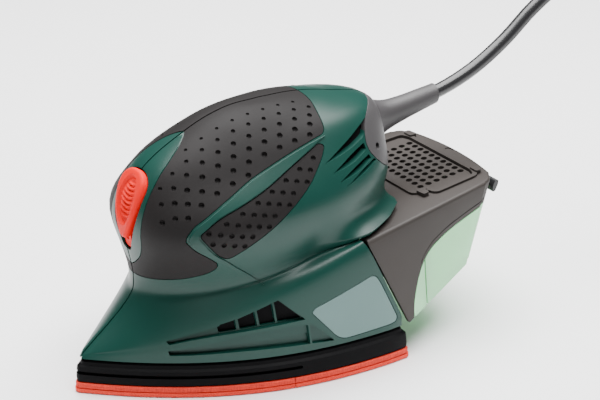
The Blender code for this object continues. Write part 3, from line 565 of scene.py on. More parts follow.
LOWER_RECESS = [[(53, 19.9, 0.3), (44.5, 21.3, 4), (33, 23.8, 4), (27.6, 25.4, 3), (19.7, 26.2, 4), (7.6, 26.8, 4),
                 (-0.2, 26.5, 0.4), (-0.9, 17.9, 0.4), (13, 18.4, 4), (28, 18.6, 4), (44.9, 18, 4), (52.6, 17.9, 0.4)],
                [(-1.1, 26.4, 0.4), (-2.8, 25.8, 0.6), (-11.7, 17.1, 0.5), (-1.8, 17.8, 0.4)]]
LOWER_DEEP = [(52.4, 19.1, 0.2), (44.5, 19.8, 4), (33, 20.6, 4), (20.5, 21.6, 4), (7.6, 22.2, 3), (-0.4, 22.4, 0.3),
              (-0.8, 18, 0.3), (13, 18.5, 4), (28, 18.7, 4), (44.9, 18.1, 4), (52.2, 18, 0.3)]
NAME_PLATE = [(-2.3, 31.3, 1), (-3.9, 33, 1.5), (-29.9, 41.8, 2.5), (-31.9, 41, 1.5), (-33.9, 38, 2), (-42.6, 19.8, 2),
              (-42.0, 17.9, 1.5), (-39.8, 17.5, 1.5), (-16.5, 16.9, 2), (-13, 18.6, 2)]
RATING_PLATE = [(x * 0.75 - 2, 29 + (z - 29) * 0.7, r) for x, z, r in NAME_PLATE]  # on the right side
CAP_EDGE = [(-62, 103.2), (-55.2, 102.9), (-49.5, 102), (-45.4, 100.4), (-41.8, 96.9), (-39.9, 92), (-40.6, 88.6),
            (-43.5, 85), (-48, 81), (-54, 77.4), (-60, 75.2), (-70, 75), (-84, 80), (-84, 100), (-70, 103.4)]
BOX_BAY = [(-60.5, 5), (-47.8, 5), (-47.8, 14), (-27.3, 56.9), (-75, 62.2), (-75, 5)]
BAY_WALLED = [(-60, 5), (-45.8, 5), (-45.8, 14), (-26.2, 53.8), (-27, 60), (-75, 65.4), (-75, 5)]
# green surround of the switch, seen from the front (y, z)
HALF_SURROUND = [(0, 103.2, 2), (2.7, 102.2, 3), (6.3, 99.7, 5), (9.5, 95.1, 5), (11.2, 89, 5), (12.3, 80, 5),
                 (12.9, 71, 5), (12.2, 64, 5), (9.6, 58.3, 4), (5.2, 53.9, 3), (0, 50.6, 2)]
SURROUND = HALF_SURROUND + [(-y, z, r) for y, z, r in HALF_SURROUND[-2:0:-1]]
SCREWS = {"nose": (60, 22, 12.5), "rear": (-37, 19.5, 46.5), "top": (-34, 100.5, 21)}


def grown(outline, distance, radius=1.5):
    """A rounded outline, grown by a distance."""
    return offset(ccw(rounded(outline, radius)), -distance)


def track_point(along, across, radius):
    """A point on the switch's track: along in degrees above the axis, across along Y."""
    angle = math.radians(along)
    return (TRACK_X + radius * math.cos(angle), across, TRACK_Z + radius * math.sin(angle))


# slider's drop shape: (mm along the track from its lower end, half width)
SLIDER_LOW = -3.0
SLIDER_OUTLINE = [(0.0, 0.0), (0.15, 1.3), (1.0, 2.5), (3.4, 3.9), (8.6, 6.4), (14.6, 8.2), (20.2, 8.9), (24.6, 8.2),
                  (27.5, 6.0), (28.9, 3.2), (29.3, 0.0)]


def slider_outline(grow=0.0, steps=5):
    """The drop's closed outline as (along mm, across mm)."""
    half = [Vector(p) for p in SLIDER_OUTLINE]
    right = catmull(half, steps)
    loop = [(p.x, p.y) for p in right] + [(p.x, -p.y) for p in right[-2:0:-1]]
    return offset(ccw(loop), -grow) if grow else ccw(loop)


def track_prism(name, outline, inner, outer):
    """An outline on the track (mm along, mm across), run between two radii."""
    loops = []
    for radius in (inner, outer):
        loops.append([track_point(SLIDER_LOW + math.degrees(s / TRACK_R), y, radius) for s, y in outline])
    return loft(name, loops)


# ---- housing ----
def seam_groove():
    """A small V along the joint of the two halves."""
    outer = body_form("seam_outer", inset=-1.0)
    carve(outer, [body_form("seam_inner", inset=0.45, bottom=5.0)])
    return carve(outer, [block("seam_slab", (-90, -0.42, 0), (100, 0.42, 130))], "INTERSECT")


def make_shells():
    left = body_form("shell_left")
    carve(left, [skin_piece("band", rounded(BAND, 2), 0.6, proud=0.55, low=5)], "UNION")
    cavity = body_form("cavity", inset=2.8, bottom=8.0, steps=3)
    carve(cavity, [side_prism("bay_wall", BAY_WALLED, -70, 70)])
    carve(left, [block("half", (-90, SEAM, 0), (100, 80, 130))], "INTERSECT")
    tools = [cavity, seam_groove(), side_prism("bay", BOX_BAY, -70, 70),
             side_prism("cap", grown([(*p, 2) for p in CAP_EDGE], 0.3), -40, 40),
             skin_piece("grip_pocket", grown(TOP_GRIP, GROOVE), GRIP_T + 0.4, 2, -1,
                        grown(SURROUND, -GROOVE)),
             skin_piece("lens_pocket", grown(SIDE_GRIP, GROOVE), GRIP_T + 0.4, 2, 5),
             skin_piece("recess", rounded(SIDE_RECESS, 1), 1.7, 2, 5),
             skin_piece("deep", rounded(LOWER_DEEP, 1), 2.4, 2, 5)]
    tools += [skin_piece(f"lower_{i}", rounded(outline, 1), 1.5, 2, 5) for i, outline in enumerate(LOWER_RECESS)]
    tools += [side_prism(f"vent_{i}", rounded(outline, 1), 5, 70) for i, outline in enumerate(REAR_VENTS)]
    tools += [side_prism(f"slot_{i}", rounded(outline, 0.5, 2), 5, 70) for i, outline in enumerate(SIDE_VENTS)]
    for slip in (0.0, 2.3, 4.6):
        tools.append(track_prism("well", [(s - slip, y) for s, y in slider_outline(0.7)], 40.6, 60))
    foot_well = rounded([(-5.6, -3.2, 2.4), (9, -7.6, 0.5), (9, 7.6, 0.5), (-5.6, 3.2, 2.4)], 1)
    tools.append(track_prism("foot_well", foot_well, 40.6, 60))
    for low in (-11.0, -8.25, -5.5, -2.75):
        pocket = [(low, -3.3), (low + 2.9, -3.3), (low + 2.9, 3.3), (low, 3.3)]
        tools.append(track_prism("tab_pocket", pocket, 40.6, 43.35))
    tools.append(block("port", (-60, -11, 27), (-30, 11, 39)))
    carve(left, tools)
    right = mirrored(left, "shell_right")
    carve(left, [skin_piece("plate_pocket", grown(NAME_PLATE, 0.3), 1.1, 2, 5)])
    pocket = skin_piece("rating_pocket", grown(RATING_PLATE, 0.3), 1.1, 2, 5)
    flipped = mirrored(pocket, "rating_pocket_right")
    bpy.data.objects.remove(pocket)
    holes = [flipped]
    for key, (x, z, half) in SCREWS.items():
        ring = circle(3.5, 24)
        holes.append(loft(f"hole_{key}", [[(x + a, y, z + b) for a, b in ring] for y in (-80, 2.6 - half)]))
    carve(right, holes)
    for side, shell in (("left", left), ("right", right)):
        placed(smooth(shell), "housing", "green_plastic", f"housing_{side}")


def make_shade_baffles():
    """Dark baffles of black plastic behind the vents: painted shade that stands for the dark inside of the housing."""
    flank = [(36, 24), (36, 34), (27, 36), (10, 41.5), (-2, 30), (2, 24)]
    back = [(-12, 92), (-20, 97), (-47, 103), (-47, 82), (-30, 77), (-18, 76)]
    for key, outline in (("flank", flank), ("back", back)):
        shade_baffle = skin_piece(f"screen_{key}", rounded(outline, 1), 4.2, -3.2, 5)
        for side in ("left", "right"):
            copy = mirrored(shade_baffle, f"screen_{key}_{side}") if side == "right" else shade_baffle
            placed(smooth(copy), "housing", "black_plastic")


def dimple(place, normal, width):
    """A small ball that cuts a dimple of this width."""
    radius = 0.72 * width
    rise = math.sqrt(radius ** 2 - (width / 2) ** 2)
    bm = bmesh.new()
    bmesh.ops.create_icosphere(bm, subdivisions=2, radius=radius)
    bmesh.ops.translate(bm, verts=bm.verts, vec=place + normal * rise)
    return bm


def inside(outline, x, z):
    hit = False
    for (xa, za), (xb, zb) in zip(outline, outline[1:] + outline[:1]):
        if (za > z) != (zb > z) and x < (xb - xa) * (z - za) / (zb - za) + xa:
            hit = not hit
    return hit


def top_dimples(tree):
    """Rows that run outwards and back from the seam; the first dimples of a row fade out towards it."""
    field = grown(TOP_GRIP, -0.6)
    surround = grown(SURROUND, 2.2)
    balls = []
    for row in range(-5, 8):
        for column in range(6):
            x = 35.0 - 7.2 * row - 5.1 * column
            y = 9.6 + 4.1 * column - 0.14 * column * (column - 1)
            if x > 40:
                x = 40 + 0.8 * (x - 40)
            place, normal, _, _ = tree.ray_cast(Vector((x, y, 130)), Vector((0, 0, -1)))
            if place is None or not inside(field, place.x, place.z) or inside(surround, place.y, place.z):
                continue
            balls.append(dimple(place, normal, min(1.05 + 0.25 * column, 1.75)))
    return finish("top_dimples", join_bmesh(balls))


def lens_dimples(tree):
    """A slanting lattice across the lens."""
    field = grown(SIDE_GRIP, -1.0)
    balls = []
    for row in range(-1, 9):
        for column in range(8):
            x, z = 38.8 - 7.25 * row - 4.25 * column, 72.8 + 2.8 * row - 0.9 * column
            if inside(field, x, z):
                place, normal, _, _ = tree.ray_cast(Vector((x, 90, z)), Vector((0, -1, 0)))
                balls.append(dimple(place, normal, 1.65))
    return finish("lens_dimples", join_bmesh(balls))


def make_grips():
    bm = body_bmesh()
    tree = BVHTree.FromBMesh(bm)
    bm.free()
    top = skin_piece("grip_top", rounded(TOP_GRIP, 2), GRIP_T, 0.0, SEAM, grown(SURROUND, 0))
    carve(top, [top_dimples(tree), seam_groove()])
    lens = skin_piece("grip_lens", rounded(SIDE_GRIP, 2), GRIP_T, 0.0, 5)
    carve(lens, [lens_dimples(tree)])
    for key, left in (("top", top), ("side", lens)):
        left.name = f"overlay_{key}_left"
        right = mirrored(left, f"overlay_{key}_right")
        for side, piece in (("left", left), ("right", right)):
            placed(smooth(piece), "housing", "soft_grip", f"grip_{key}_{side}")
    plate_left = skin_piece("plate_left", rounded(NAME_PLATE, 2), 0.9, -0.1, 5)
    rating = skin_piece("rating", rounded(RATING_PLATE, 2), 0.9, -0.1, 5)
    plate_right = mirrored(rating, "plate_right")
    bpy.data.objects.remove(rating)
    for side, piece in (("left", plate_left), ("right", plate_right)):
        placed(smooth(piece), "housing", "plate_grey", f"name_plate_{side}")


# ---- switch ----
def make_slider():
    """Drop-shaped slider: rounded rim, sunken oval and curved ribs, with its tab below the tail."""
    outline = slider_outline(steps=8)
    rings = []
    for inset, height in ((0.0, -3.1), (0.0, 0.0), (0.12, 0.45), (0.42, 0.85), (0.9, 1.12), (1.4, 1.2)):
        ring = offset(outline, inset) if inset else outline
        rings.append([(s, y, height) for s, y in ring])
    centre_s = 15.5
    edge = rings[-1]
    for share in [1 - k / 40 for k in range(1, 40)]:
        rings.append([(centre_s + (s - centre_s) * share, y * share, 1.2) for s, y, _ in edge])
    loops = []
    for ring in rings:
        loop = []
        for s, y, height in divided(ring, 3):
            if height == 1.2:
                height += ribbed(s, y)
            loop.append(track_point(SLIDER_LOW + math.degrees(s / TRACK_R), y, TRACK_R + height))
        loops.append(loop)
    piece = loft("slider", loops)
    tab = [(-4.8, 0.7), (-4.8, -0.7), (-4.5, -2.0), (-3.6, -2.7), (2.6, -2.9), (2.6, -0.8), (-1.5, -0.8), (-1.9, 0),
           (-1.5, 0.8), (2.6, 0.8), (2.6, 2.9), (-3.6, 2.7), (-4.5, 2.0)]
    carve(piece, [track_prism("tab", rounded(tab, 0.5, 3), 42.0, 43.1)], "UNION")
    placed(smooth(piece, 38), "switch", "red_plastic", "switch_slider")


def divided(ring, parts):
    """A closed ring with each of its edges split into equal parts."""
    pairs = zip(ring, ring[1:] + ring[:1])
    return [tuple(u + (v - u) * k / parts for u, v in zip(a, b)) for a, b in pairs for k in range(parts)]


def ribbed(s, y):
    """Height of the slider's face: a sunken oval whose floor carries curved ribs."""
    reach = math.hypot((s - 16.2) / 10.6, y / 5.9)
    sink = min(max((1.0 - reach) / 0.13, 0.0), 1.0)
    sink = sink * sink * (3 - 2 * sink)
    band = min(max((0.86 - reach) / 0.2, 0.0), 1.0)
    wave = 0.5 + 0.5 * math.cos(2 * math.pi * (s - 0.06 * y * y) / 1.9)
    return sink * (0.95 * band * wave ** 1.3 - 1.35)


# ---- foot ----
def round_holes(places, z_low, z_high, radius=4.0):
    return [loft(f"hole_{i}", [level(circle(radius, 28, p), z) for z in (z_low, z_high)])
            for i, p in enumerate(places)]


FRONT_HOLES = ((58, 0), (40, 17), (40, -17), (18, 30), (18, -30), (33, 0))
REAR_HOLES = ((-10, 33), (-10, -33), (-34, 33), (-34, -33), (-28, 0))


def make_foot():
    profile = [(4.6, 1.2), (4.9, 0.7), (6.4, 0.6), (9.3, 0.8), (11.0, 1.0), (11.6, 1.7), (11.9, 2.3), (13.2, 2.5),
               (13.6, 2.9)]
    platen = loft("foot_plate", [level(full_outline(inset), z) for z, inset in profile])
    groove_end = rounded([(3.2, 8.0), (99, 8.0), (99, 9.4), (3.2, 9.4)], 0.6)
    lower = side_prism("side_groove", groove_end, -60, 60)
    carve(lower, [loft("groove_core", [level(full_outline(2.4), z) for z in (5, 15)])])
    carve(platen, [lower, *round_holes(FRONT_HOLES + REAR_HOLES, 0, 20)])
    carve(platen, [loft("hub_well", [level(circle(r, 32, (0.8, 0)), z) for r, z in ((11.3, 5.9), (11.3, 20))])])
    placed(smooth(platen), "platen", "black_plastic", "platen")
    split = [(SPLIT_X - SPLIT_BOW * (1 - (k / 12) ** 2), 50.0 * k / 12) for k in range(-12, 13)]
    for side, ends, holes in (("front", 100, FRONT_HOLES), ("rear", -60, REAR_HOLES)):
        shift = 0.2 if side == "front" else -0.2
        field = [(x + shift, y) for x, y in split] + [(ends, 60), (ends, -60)]
        pad = ((PAD_Z[0], 0.5), (PAD_Z[0] + 0.3, 0.3), (PAD_Z[1] - 0.3, 0.3), (PAD_Z[1], 0.5))
        sheet = ((SHEET_Z[0], 0.15), (SHEET_Z[0] + 0.3, 0.0), (SHEET_Z[1], 0.0))
        for name, heights, slot in (("hook_pad", pad, "hook_red"), ("sheet", sheet, "abrasive_red")):
            piece = loft(f"{name}_{side}_layer", [level(full_outline(inset), z) for z, inset in heights])
            carve(piece, [loft("split_field", [level(ccw(field), z) for z in (-2, 10)])], "INTERSECT")
            carve(piece, round_holes(holes, -2, 10))
            placed(smooth(piece), "platen", slot, f"{name}_{side}")


# ---- dust box ----
CHEEK_EDGE = [(-125, 57.6, 1), (-101, 55, 8), (-87, 51.5, 7), (-74, 47.8, 6), (-64.4, 43.4, 5), (-59, 38, 4),
              (-55, 30, 5), (-52.4, 22, 5), (-50.6, 8, 1)]


def cheek_line(shift=0.0):
    """The cover's lower edge, rounded, as an open line from the rear to the front."""
    closed = rounded(CHEEK_EDGE + [(-30, 0, 0.5), (-140, 0, 0.5)], 3)
    line = [p for p in closed if p[1] > 7.9]
    return [(x, z + shift) for x, z in sorted(line)]


def box_loop(t, inset=0.0, front=None, drop=0.0):
    """The dust box's outline at a share t of its height."""
    nominal = BOX_FRONT_X[0] + (BOX_FRONT_X[1] - BOX_FRONT_X[0]) * t
    front_x = nominal if front is None else front
    rear_x = BOX_REAR_X[0] + (BOX_REAR_X[1] - BOX_REAR_X[0]) * t
    half_front = BOX_HALF_FRONT[0] + (BOX_HALF_FRONT[1] - BOX_HALF_FRONT[0]) * t
    corner = 6.0

    def half_at(x):
        return half_front + (BOX_HALF_REAR - half_front) * (nominal - x) / (nominal - rear_x)

    left = [(x, half_at(x)) for x in (front_x + (rear_x + corner - front_x) * k / 8 for k in range(9))]
    tight = half_at(rear_x)
    left += [(rear_x + corner * (1 - math.sin(a)), tight - corner * (1 - math.cos(a)))
             for a in (math.radians(10 * k) for k in range(1, 8))]
    left += [(rear_x - BOX_BULGE * (1 - (y / tight) ** 2), y)
             for y in [(tight - 6.5) * (1 - k / 8) for k in range(8)]]
    loop = left + [(x, -y) for x, y in left[::-1]]
    if inset:
        loop = offset(loop, inset)
    low = BOX_LOW_Z[0] + (BOX_HIGH_Z[0] - BOX_LOW_Z[0]) * t
    high = BOX_LOW_Z[1] + (BOX_HIGH_Z[1] - BOX_LOW_Z[1]) * t
    slope = (high - low) / (rear_x - nominal)
    return [(x, y, low + (x - nominal) * slope - drop) for x, y in loop]


def top_z(x):
    slope = (BOX_HIGH_Z[1] - BOX_HIGH_Z[0]) / (BOX_REAR_X[1] - BOX_FRONT_X[1])
    return BOX_HIGH_Z[0] + (x - BOX_FRONT_X[1]) * slope


def box_body(name, inset=0.0, front=None, low_t=0.0, high_t=1.0, drop=0.0, edge=0.0):
    """The box as a closed form; edge rounds its upper rim."""
    loops = [box_loop(low_t + (high_t - low_t) * k / 6, inset, front, drop) for k in range(7)]
    if edge:
        height = 36.0
        loops = loops[:-1]
        for a in (math.radians(15 * k) for k in range(7)):
            back = edge * (1 - math.cos(a))
            loops.append(box_loop(high_t - edge * (1 - math.sin(a)) / height, inset + back + 0.01, front, drop))
    return loft(name, loops)


def on_lid(obj):
    """Lay a flat piece, drawn around height zero, on the lid's slope."""
    for vert in obj.data.vertices:
        vert.co.z += top_z(vert.co.x / MM) * MM
    return obj


def flat_on_lid(name, outline, low, high):
    return on_lid(loft(name, [level(ccw(outline), low), level(ccw(outline), high)]))


GRILLE = [(-69, -22.5, 1.5), (-76, -22.5, 1), (-76.6, -27.6, 1.2), (-97, -26.6, 1.5), (-98.4, -22.5, 1.5),
          (-98.4, 22.5, 1.5), (-97, 26.6, 1.5), (-76.6, 27.6, 1.2), (-76, 22.5, 1), (-69, 22.5, 1.5)]
TABS = ([(-68.9, 23.4, 1), (-72.4, 23.2, 1), (-72.4, 28.6, 1), (-69.4, 28.8, 1)],
        [(-98.8, 21.8, 1), (-102.3, 21.4, 1), (-101.6, 27.0, 1), (-98.8, 27.3, 1)])


def make_cover():
    """Lid with its side cheeks, the recess of the grille and small catches at its corners."""
    cover = box_body("cover_shell", edge=1.6)
    below = cheek_line() + [(-30, 0), (-140, 0)]
    carve(cover, [side_prism("cheek_cut", ccw(below), -70, 70)])
    carve(cover, [box_body("cover_hollow", BOX_WALL, -20, -0.3, 1.0, BOX_WALL)])
    field = rounded(GRILLE, 1)
    carve(cover, [flat_on_lid("rails", offset(ccw(field), -2.3), -1.0, 1.0)], "UNION")
    for sign in (1, -1):
        for i, tab in enumerate(TABS):
            outline = rounded([(x, sign * y, r) for x, y, r in tab], 1)
            carve(cover, [flat_on_lid(f"tab_{i}", outline, -1.0, 1.8)], "UNION")
    cuts = [flat_on_lid("grille_opening", offset(ccw(field), -0.25), -6, 4)]
    mark = [(-105 + 1.5 * a, -0.8 + 2.4 * b) for a, b in circle(1.0, 24)]
    cuts.append(flat_on_lid("oval_mark", mark, -0.4, 4))
    carve(cover, cuts)
    line = cheek_line(2.2)
    crease = [(x, z) for x, z in line if x < -58] + [(x, z - 0.5) for x, z in line[::-1] if x < -58]
    outer = box_body("crease_outer", -1.0, low_t=0.05)
    carve(outer, [box_body("crease_inner", 0.25, -20, -0.3, 1.2)])
    carve(outer, [side_prism("crease_field", ccw(crease), -70, 70)], "INTERSECT")
    carve(cover, [outer])
    placed(smooth(cover, 30), "dust_box", "cover_plastic", "dustbox_cover")


def make_grille():
    """Perforated panel with six rows of ten round holes, over a folded filter."""
    panel = flat_on_lid("grille_panel", rounded(GRILLE, 1), -BOX_WALL, -0.25)
    holes = []
    for row in range(6):
        for k in range(10):
            place = (-74.7 - 4.32 * row, -18.9 + 4.21 * k)
            holes.append(loft_bmesh([level(circle(r, 18, place), z)
                                     for r, z in ((1.45, 50), (1.45, 70))]))
    carve(panel, [finish("grille_holes", join_bmesh(holes))])
    placed(smooth(panel, 30), "filter", "cover_plastic", "filter_grille")
    upper = []
    for k in range(37):
        x = -71.2 - k * 0.71
        upper.append((x, top_z(x) - (4.6 if k % 2 else 11.6)))
    outline = upper + [(x, z - 0.8) for x, z in upper[::-1]]
    pleats = side_prism("filter_pleats", outline, -20.9, 20.9)
    frame_outline = [(-70.2, -21.6), (-97.5, -21.6), (-97.5, 21.6), (-70.2, 21.6)]
    inner = [(-71.0, -20.8), (-96.7, -20.8), (-96.7, 20.8), (-71.0, 20.8)]
    rim = flat_on_lid("filter_rim", frame_outline, -11, -4)
    carve(rim, [flat_on_lid("filter_rim_hole", inner, -14, 0)])
    carve(pleats, [rim], "UNION")
    # the pleats take the near-black filter look, painted shade seen through the grille's holes
    placed(smooth(pleats), "filter", "filter_paper", "filter_element")


def make_bin():
    """Tray of clear tinted plastic with thick walls, an inner front wall and a lip under the cheeks."""
    tray = box_body("tray", front=-52.2)
    above = cheek_line(-0.5)
    carve(tray, [side_prism("above_cut", ccw(above + [(-30, 120), (-140, 120)]), -70, 70)])
    between = box_body("between_wings", 2.0, -30, -0.3, 1.2)
    carve(between, [block("wing_field", (-60, -70, 0), (-40, 70, 80))], "INTERSECT")
    carve(tray, [between])
    carve(tray, [box_body("tray_tuck", BOX_WALL + 0.5, -60.0, 0.03, 0.68)], "UNION")
    carve(tray, [box_body("tray_hollow", BOX_WALL + 2.0, -62.0, 0.05, 1.2)])
    skin = box_body("line_outer", -1.0, -50.0, -0.1)
    carve(skin, [box_body("line_inner", 0.4, -70.0, -0.3, 1.3)])
    carve(skin, [block("wall_line", (-60.9, -70, 0), (-60.2, 70, 60))], "INTERSECT")
    carve(tray, [skin])
    port = rounded_box(10, 5, 2)
    carve(tray, [loft("inlet", [[(x, y, 33 + z) for y, z in port] for x in (-66, -56)])])
    placed(smooth(tray, 30), "bin", "clear_green", "dust_bin")


def make_latch():
    profile = [(-105.9, 55.2, 0.3), (-105.9, 57.8, 0.6), (-107.4, 60.4, 0.6), (-109.0, 60.1, 0.5),
               (-108.8, 58.2, 0.6), (-107.3, 55.2, 0.5)]
    bar = side_prism("latch_bar", rounded(profile, 0.6), -30, 30)
    grips = []
    for k in range(-4, 5):
        ring = [(-109.2 + 0.5 * a, 59.4 + 0.7 * b) for a, b in circle(1.0, 12)]
        grips.append(side_prism(f"latch_rib_{k}", ring, 4.0 * k - 0.7, 4.0 * k + 0.7))
    carve(bar, grips)
    placed(smooth(bar), "latch", "dark_plastic", "box_latch")


# ---- lead ----
CORD_ROUTE = [(-80, 0, 92.1), (-98, 0, 95), (-116, 0, 101.4), (-133, 0, 111.4), (-150, 0, 124.5),
              (-168, 1.5, 134.5), (-186, 5.5, 133), (-201, 11.5, 120.5), (-210, 18, 101),
              (-214, 25, 78), (-217, 32, 54), (-222, 38.5, 30), (-232, 43.5, 11.5), (-248.5, 45.4, 3.6)]
TURN_PITCH = CORD_D + 0.1
OUTER_TURN = COIL_R + 1.5 * TURN_PITCH


def coil_points():
    """Three turns inwards, a quarter turn that climbs one layer, and two and three quarter turns outwards."""
    low, steps = 0.3 + TURN_PITCH / 2, 20
    inwards, climb, outwards = 3.0, 0.25, 2.75
    inner = OUTER_TURN - inwards * TURN_PITCH
    points = []
    for k in range(int((inwards + climb + outwards) * steps) + 1):
        done = k / steps
        angle = math.pi / 2 + 2 * math.pi * done
        rise = min(max((done - inwards) / climb, 0.0), 1.0)
        radius = inner - 0.5 * math.sin(math.pi * rise)
        radius += TURN_PITCH * (max(inwards - done, 0.0) + max(done - inwards - climb, 0.0))
        height = low + TURN_PITCH * (0.5 - 0.5 * math.cos(math.pi * rise))
        points.append(Vector((COIL_X + radius * math.cos(angle), radius * math.sin(angle), height)))
    return points


def make_cord():
    """The whole lead as one curve: arch, coil in two layers, and a short end to the plug."""
    route = [Vector(point) for point in CORD_ROUTE]
    coil = coil_points()
    arrival = catmull(route + [Vector((-262, OUTER_TURN, 3.45)), coil[0]], 4)[:-1]
    tail = [Vector((-286, PLUG_Y - 0.2, 9.5)), Vector((-295, PLUG_Y - 0.1, 8.3)), Vector((-303.4, PLUG_Y, PLUG_Z))]
    points = arrival + coil[:-1] + catmull([coil[-1], *tail], 3)
    curve = bpy.data.curves.new("lead", "CURVE")
    curve.dimensions = "3D"
    curve.bevel_depth = CORD_D / 2 * MM
    curve.bevel_resolution = 5
    curve.use_fill_caps = True
    spline = curve.splines.new("POLY")
    spline.points.add(len(points) - 1)
    for target, point in zip(spline.points, points):
        target.co = (*(point * MM), 1.0)
    curve.materials.append(LOOKS["lead_black"])
    lead = bpy.data.objects.new("lead", curve)
    bpy.context.scene.collection.objects.link(lead)
    spline.use_smooth = True
    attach(lead, "housing")
    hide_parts("mains_cord", "cord_coil")
    tie, plug = make_tie(), make_plug()


def make_tie():
    """A strap round the coil's section, on its far side."""
    half = 2 * TURN_PITCH
    outer, inner = rounded_box(half + 1.0, 6.85, 2.0), rounded_box(half + 0.2, 6.4, 1.6)
    loops = []
    for shape, across in ((outer, -4), (outer, 4), (inner, 4), (inner, -4)):
        loops.append([(COIL_X - COIL_R - a, across, 6.87 + b) for a, b in shape])
    return placed(smooth(loft("coil_tie", loops, ring=True)), "housing", "grey_rubber")


def make_plug():
    """Moulded plug: tapered relief with rings, then a flat body with a finger groove."""
    # mm from the neck, half width, half height
    body = [(0, 3.35, 3.35), (1.5, 4.2, 4.2), (3, 4.4, 4.4), (4.4, 4.0, 4.0), (5.6, 4.7, 4.7), (7.2, 4.8, 4.8),
            (8.6, 4.3, 4.3), (9.8, 5.1, 5.1), (11.6, 5.2, 5.2), (13, 4.8, 4.8), (14.4, 5.6, 5.5), (19, 6.4, 6.0),
            (21.5, 9.5, 6.4), (24, 14.2, 6.7), (27, 16.3, 6.75), (33, 17.2, 6.8), (39, 16.2, 6.1), (45, 16.2, 6.1),
            (50, 17.3, 6.8), (54, 17.6, 6.8), (55.4, 17.3, 6.5), (56, 16.6, 5.8)]
    loops = []
    for along, half_y, half_z in body:
        power = 2.0 + 2.2 * min(max((along - 14) / 14, 0), 1)
        ring = [superpoint(2 * math.pi * i / 40, power) for i in range(40)]
        loops.append([(-304 - along, PLUG_Y + a * half_y, PLUG_Z + b * half_z) for a, b in ring])
    return placed(smooth(loft("plug_body", loops), 40), "housing", "lead_black", "mains_plug")


def make_sleeve():
    """Cap in the housing's skin with the trumpet-shaped sleeve that grows out of it."""
    edge = rounded([(*p, 3) for p in CAP_EDGE], 3)
    cap = body_form("cap")
    carve(cap, [side_prism("cap_field", ccw(edge), -40, 40)], "INTERSECT")
    carve(cap, [body_form("cap_core", inset=2.8)])
    # x, half width, half height, middle height
    sections = ((-52.0, 13.5, 12.6, 88.6), (-55.5, 12.2, 12.2, 88.4), (-59.0, 9.8, 11.0, 88.3),
                (-63, 7.4, 8.8, 88.5), (-69, 5.8, 6.7, 89.3), (-78, 5.1, 5.5, 90.9), (-86, 4.7, 5.0, 92.4),
                (-92, 4.5, 4.6, 93.5), (-94.5, 4.4, 4.5, 94.0))
    path = catmull([Vector(s[:3]) for s in sections], 4)
    heights = catmull([Vector((s[3], 0, 0)) for s in sections], 4)
    tube = [[(p.x, a * p.y, h.x + b * p.z) for a, b in circle(1.0, 40)] for p, h in zip(path, heights)]
    carve(cap, [loft("sleeve_tube", tube)], "UNION")
    middle = ((-48, 87.6), (-63, 89.6), (-75, 91.3), (-88, 93.2), (-100, 95.4))
    bore = [[(x, a, z + b) for a, b in circle(CORD_D / 2 + 0.45, 28)] for x, z in middle]
    hole = [[(-45.5 + 1.3 * a + 2 * k, y, 88.5 + 1.3 * b) for a, b in circle(1.0, 20)] for k, y in ((0, 5), (-1, 40))]
    carve(cap, [loft("sleeve_bore", bore), loft("cap_hole", hole)])
    placed(smooth(cap, 35), "housing", "grey_rubber", "cord_sleeve")


# ---- surroundings ----
def area_light(name, place, aim, size, power):
    data = bpy.data.lights.new(name, "AREA")
    data.shape = "RECTANGLE"
    data.size, data.size_y = size
    data.energy = power
    light = bpy.data.objects.new(name, data)
    light.location = place
    light.rotation_euler = (Vector(aim) - Vector(place)).to_track_quat("-Z", "Y").to_euler()
    bpy.context.scene.collection.objects.link(light)


def make_studio():
    """Pale floor, soft white surroundings, a wide overhead light and a softer one from the front left."""
    ground = Shader("floor", 0.6)
    ground.colour(ground.ramp(ground.noise(3.0), ((0.3, (0.93, 0.93, 0.935)), (0.7, (0.95, 0.95, 0.95)))))
    floor = block("floor", (-4000, -4000, -6), (4000, 4000, -0.4))
    floor.data.materials.append(ground.mat)
    world = bpy.data.worlds.new("studio")
    world.use_nodes = True
    world.node_tree.nodes["Background"].inputs["Color"].default_value = (1, 1, 1, 1)
    world.node_tree.nodes["Background"].inputs["Strength"].default_value = 0.15
    bpy.context.scene.world = world
    area_light("overhead", (-0.15, -0.12, 1.1), (0, 0, 0.05), (1.3, 1.1), 68.0)
    area_light("front_left", (0.45, 0.65, 0.40), (0, 0, 0.05), (0.35, 0.5), 0.7)


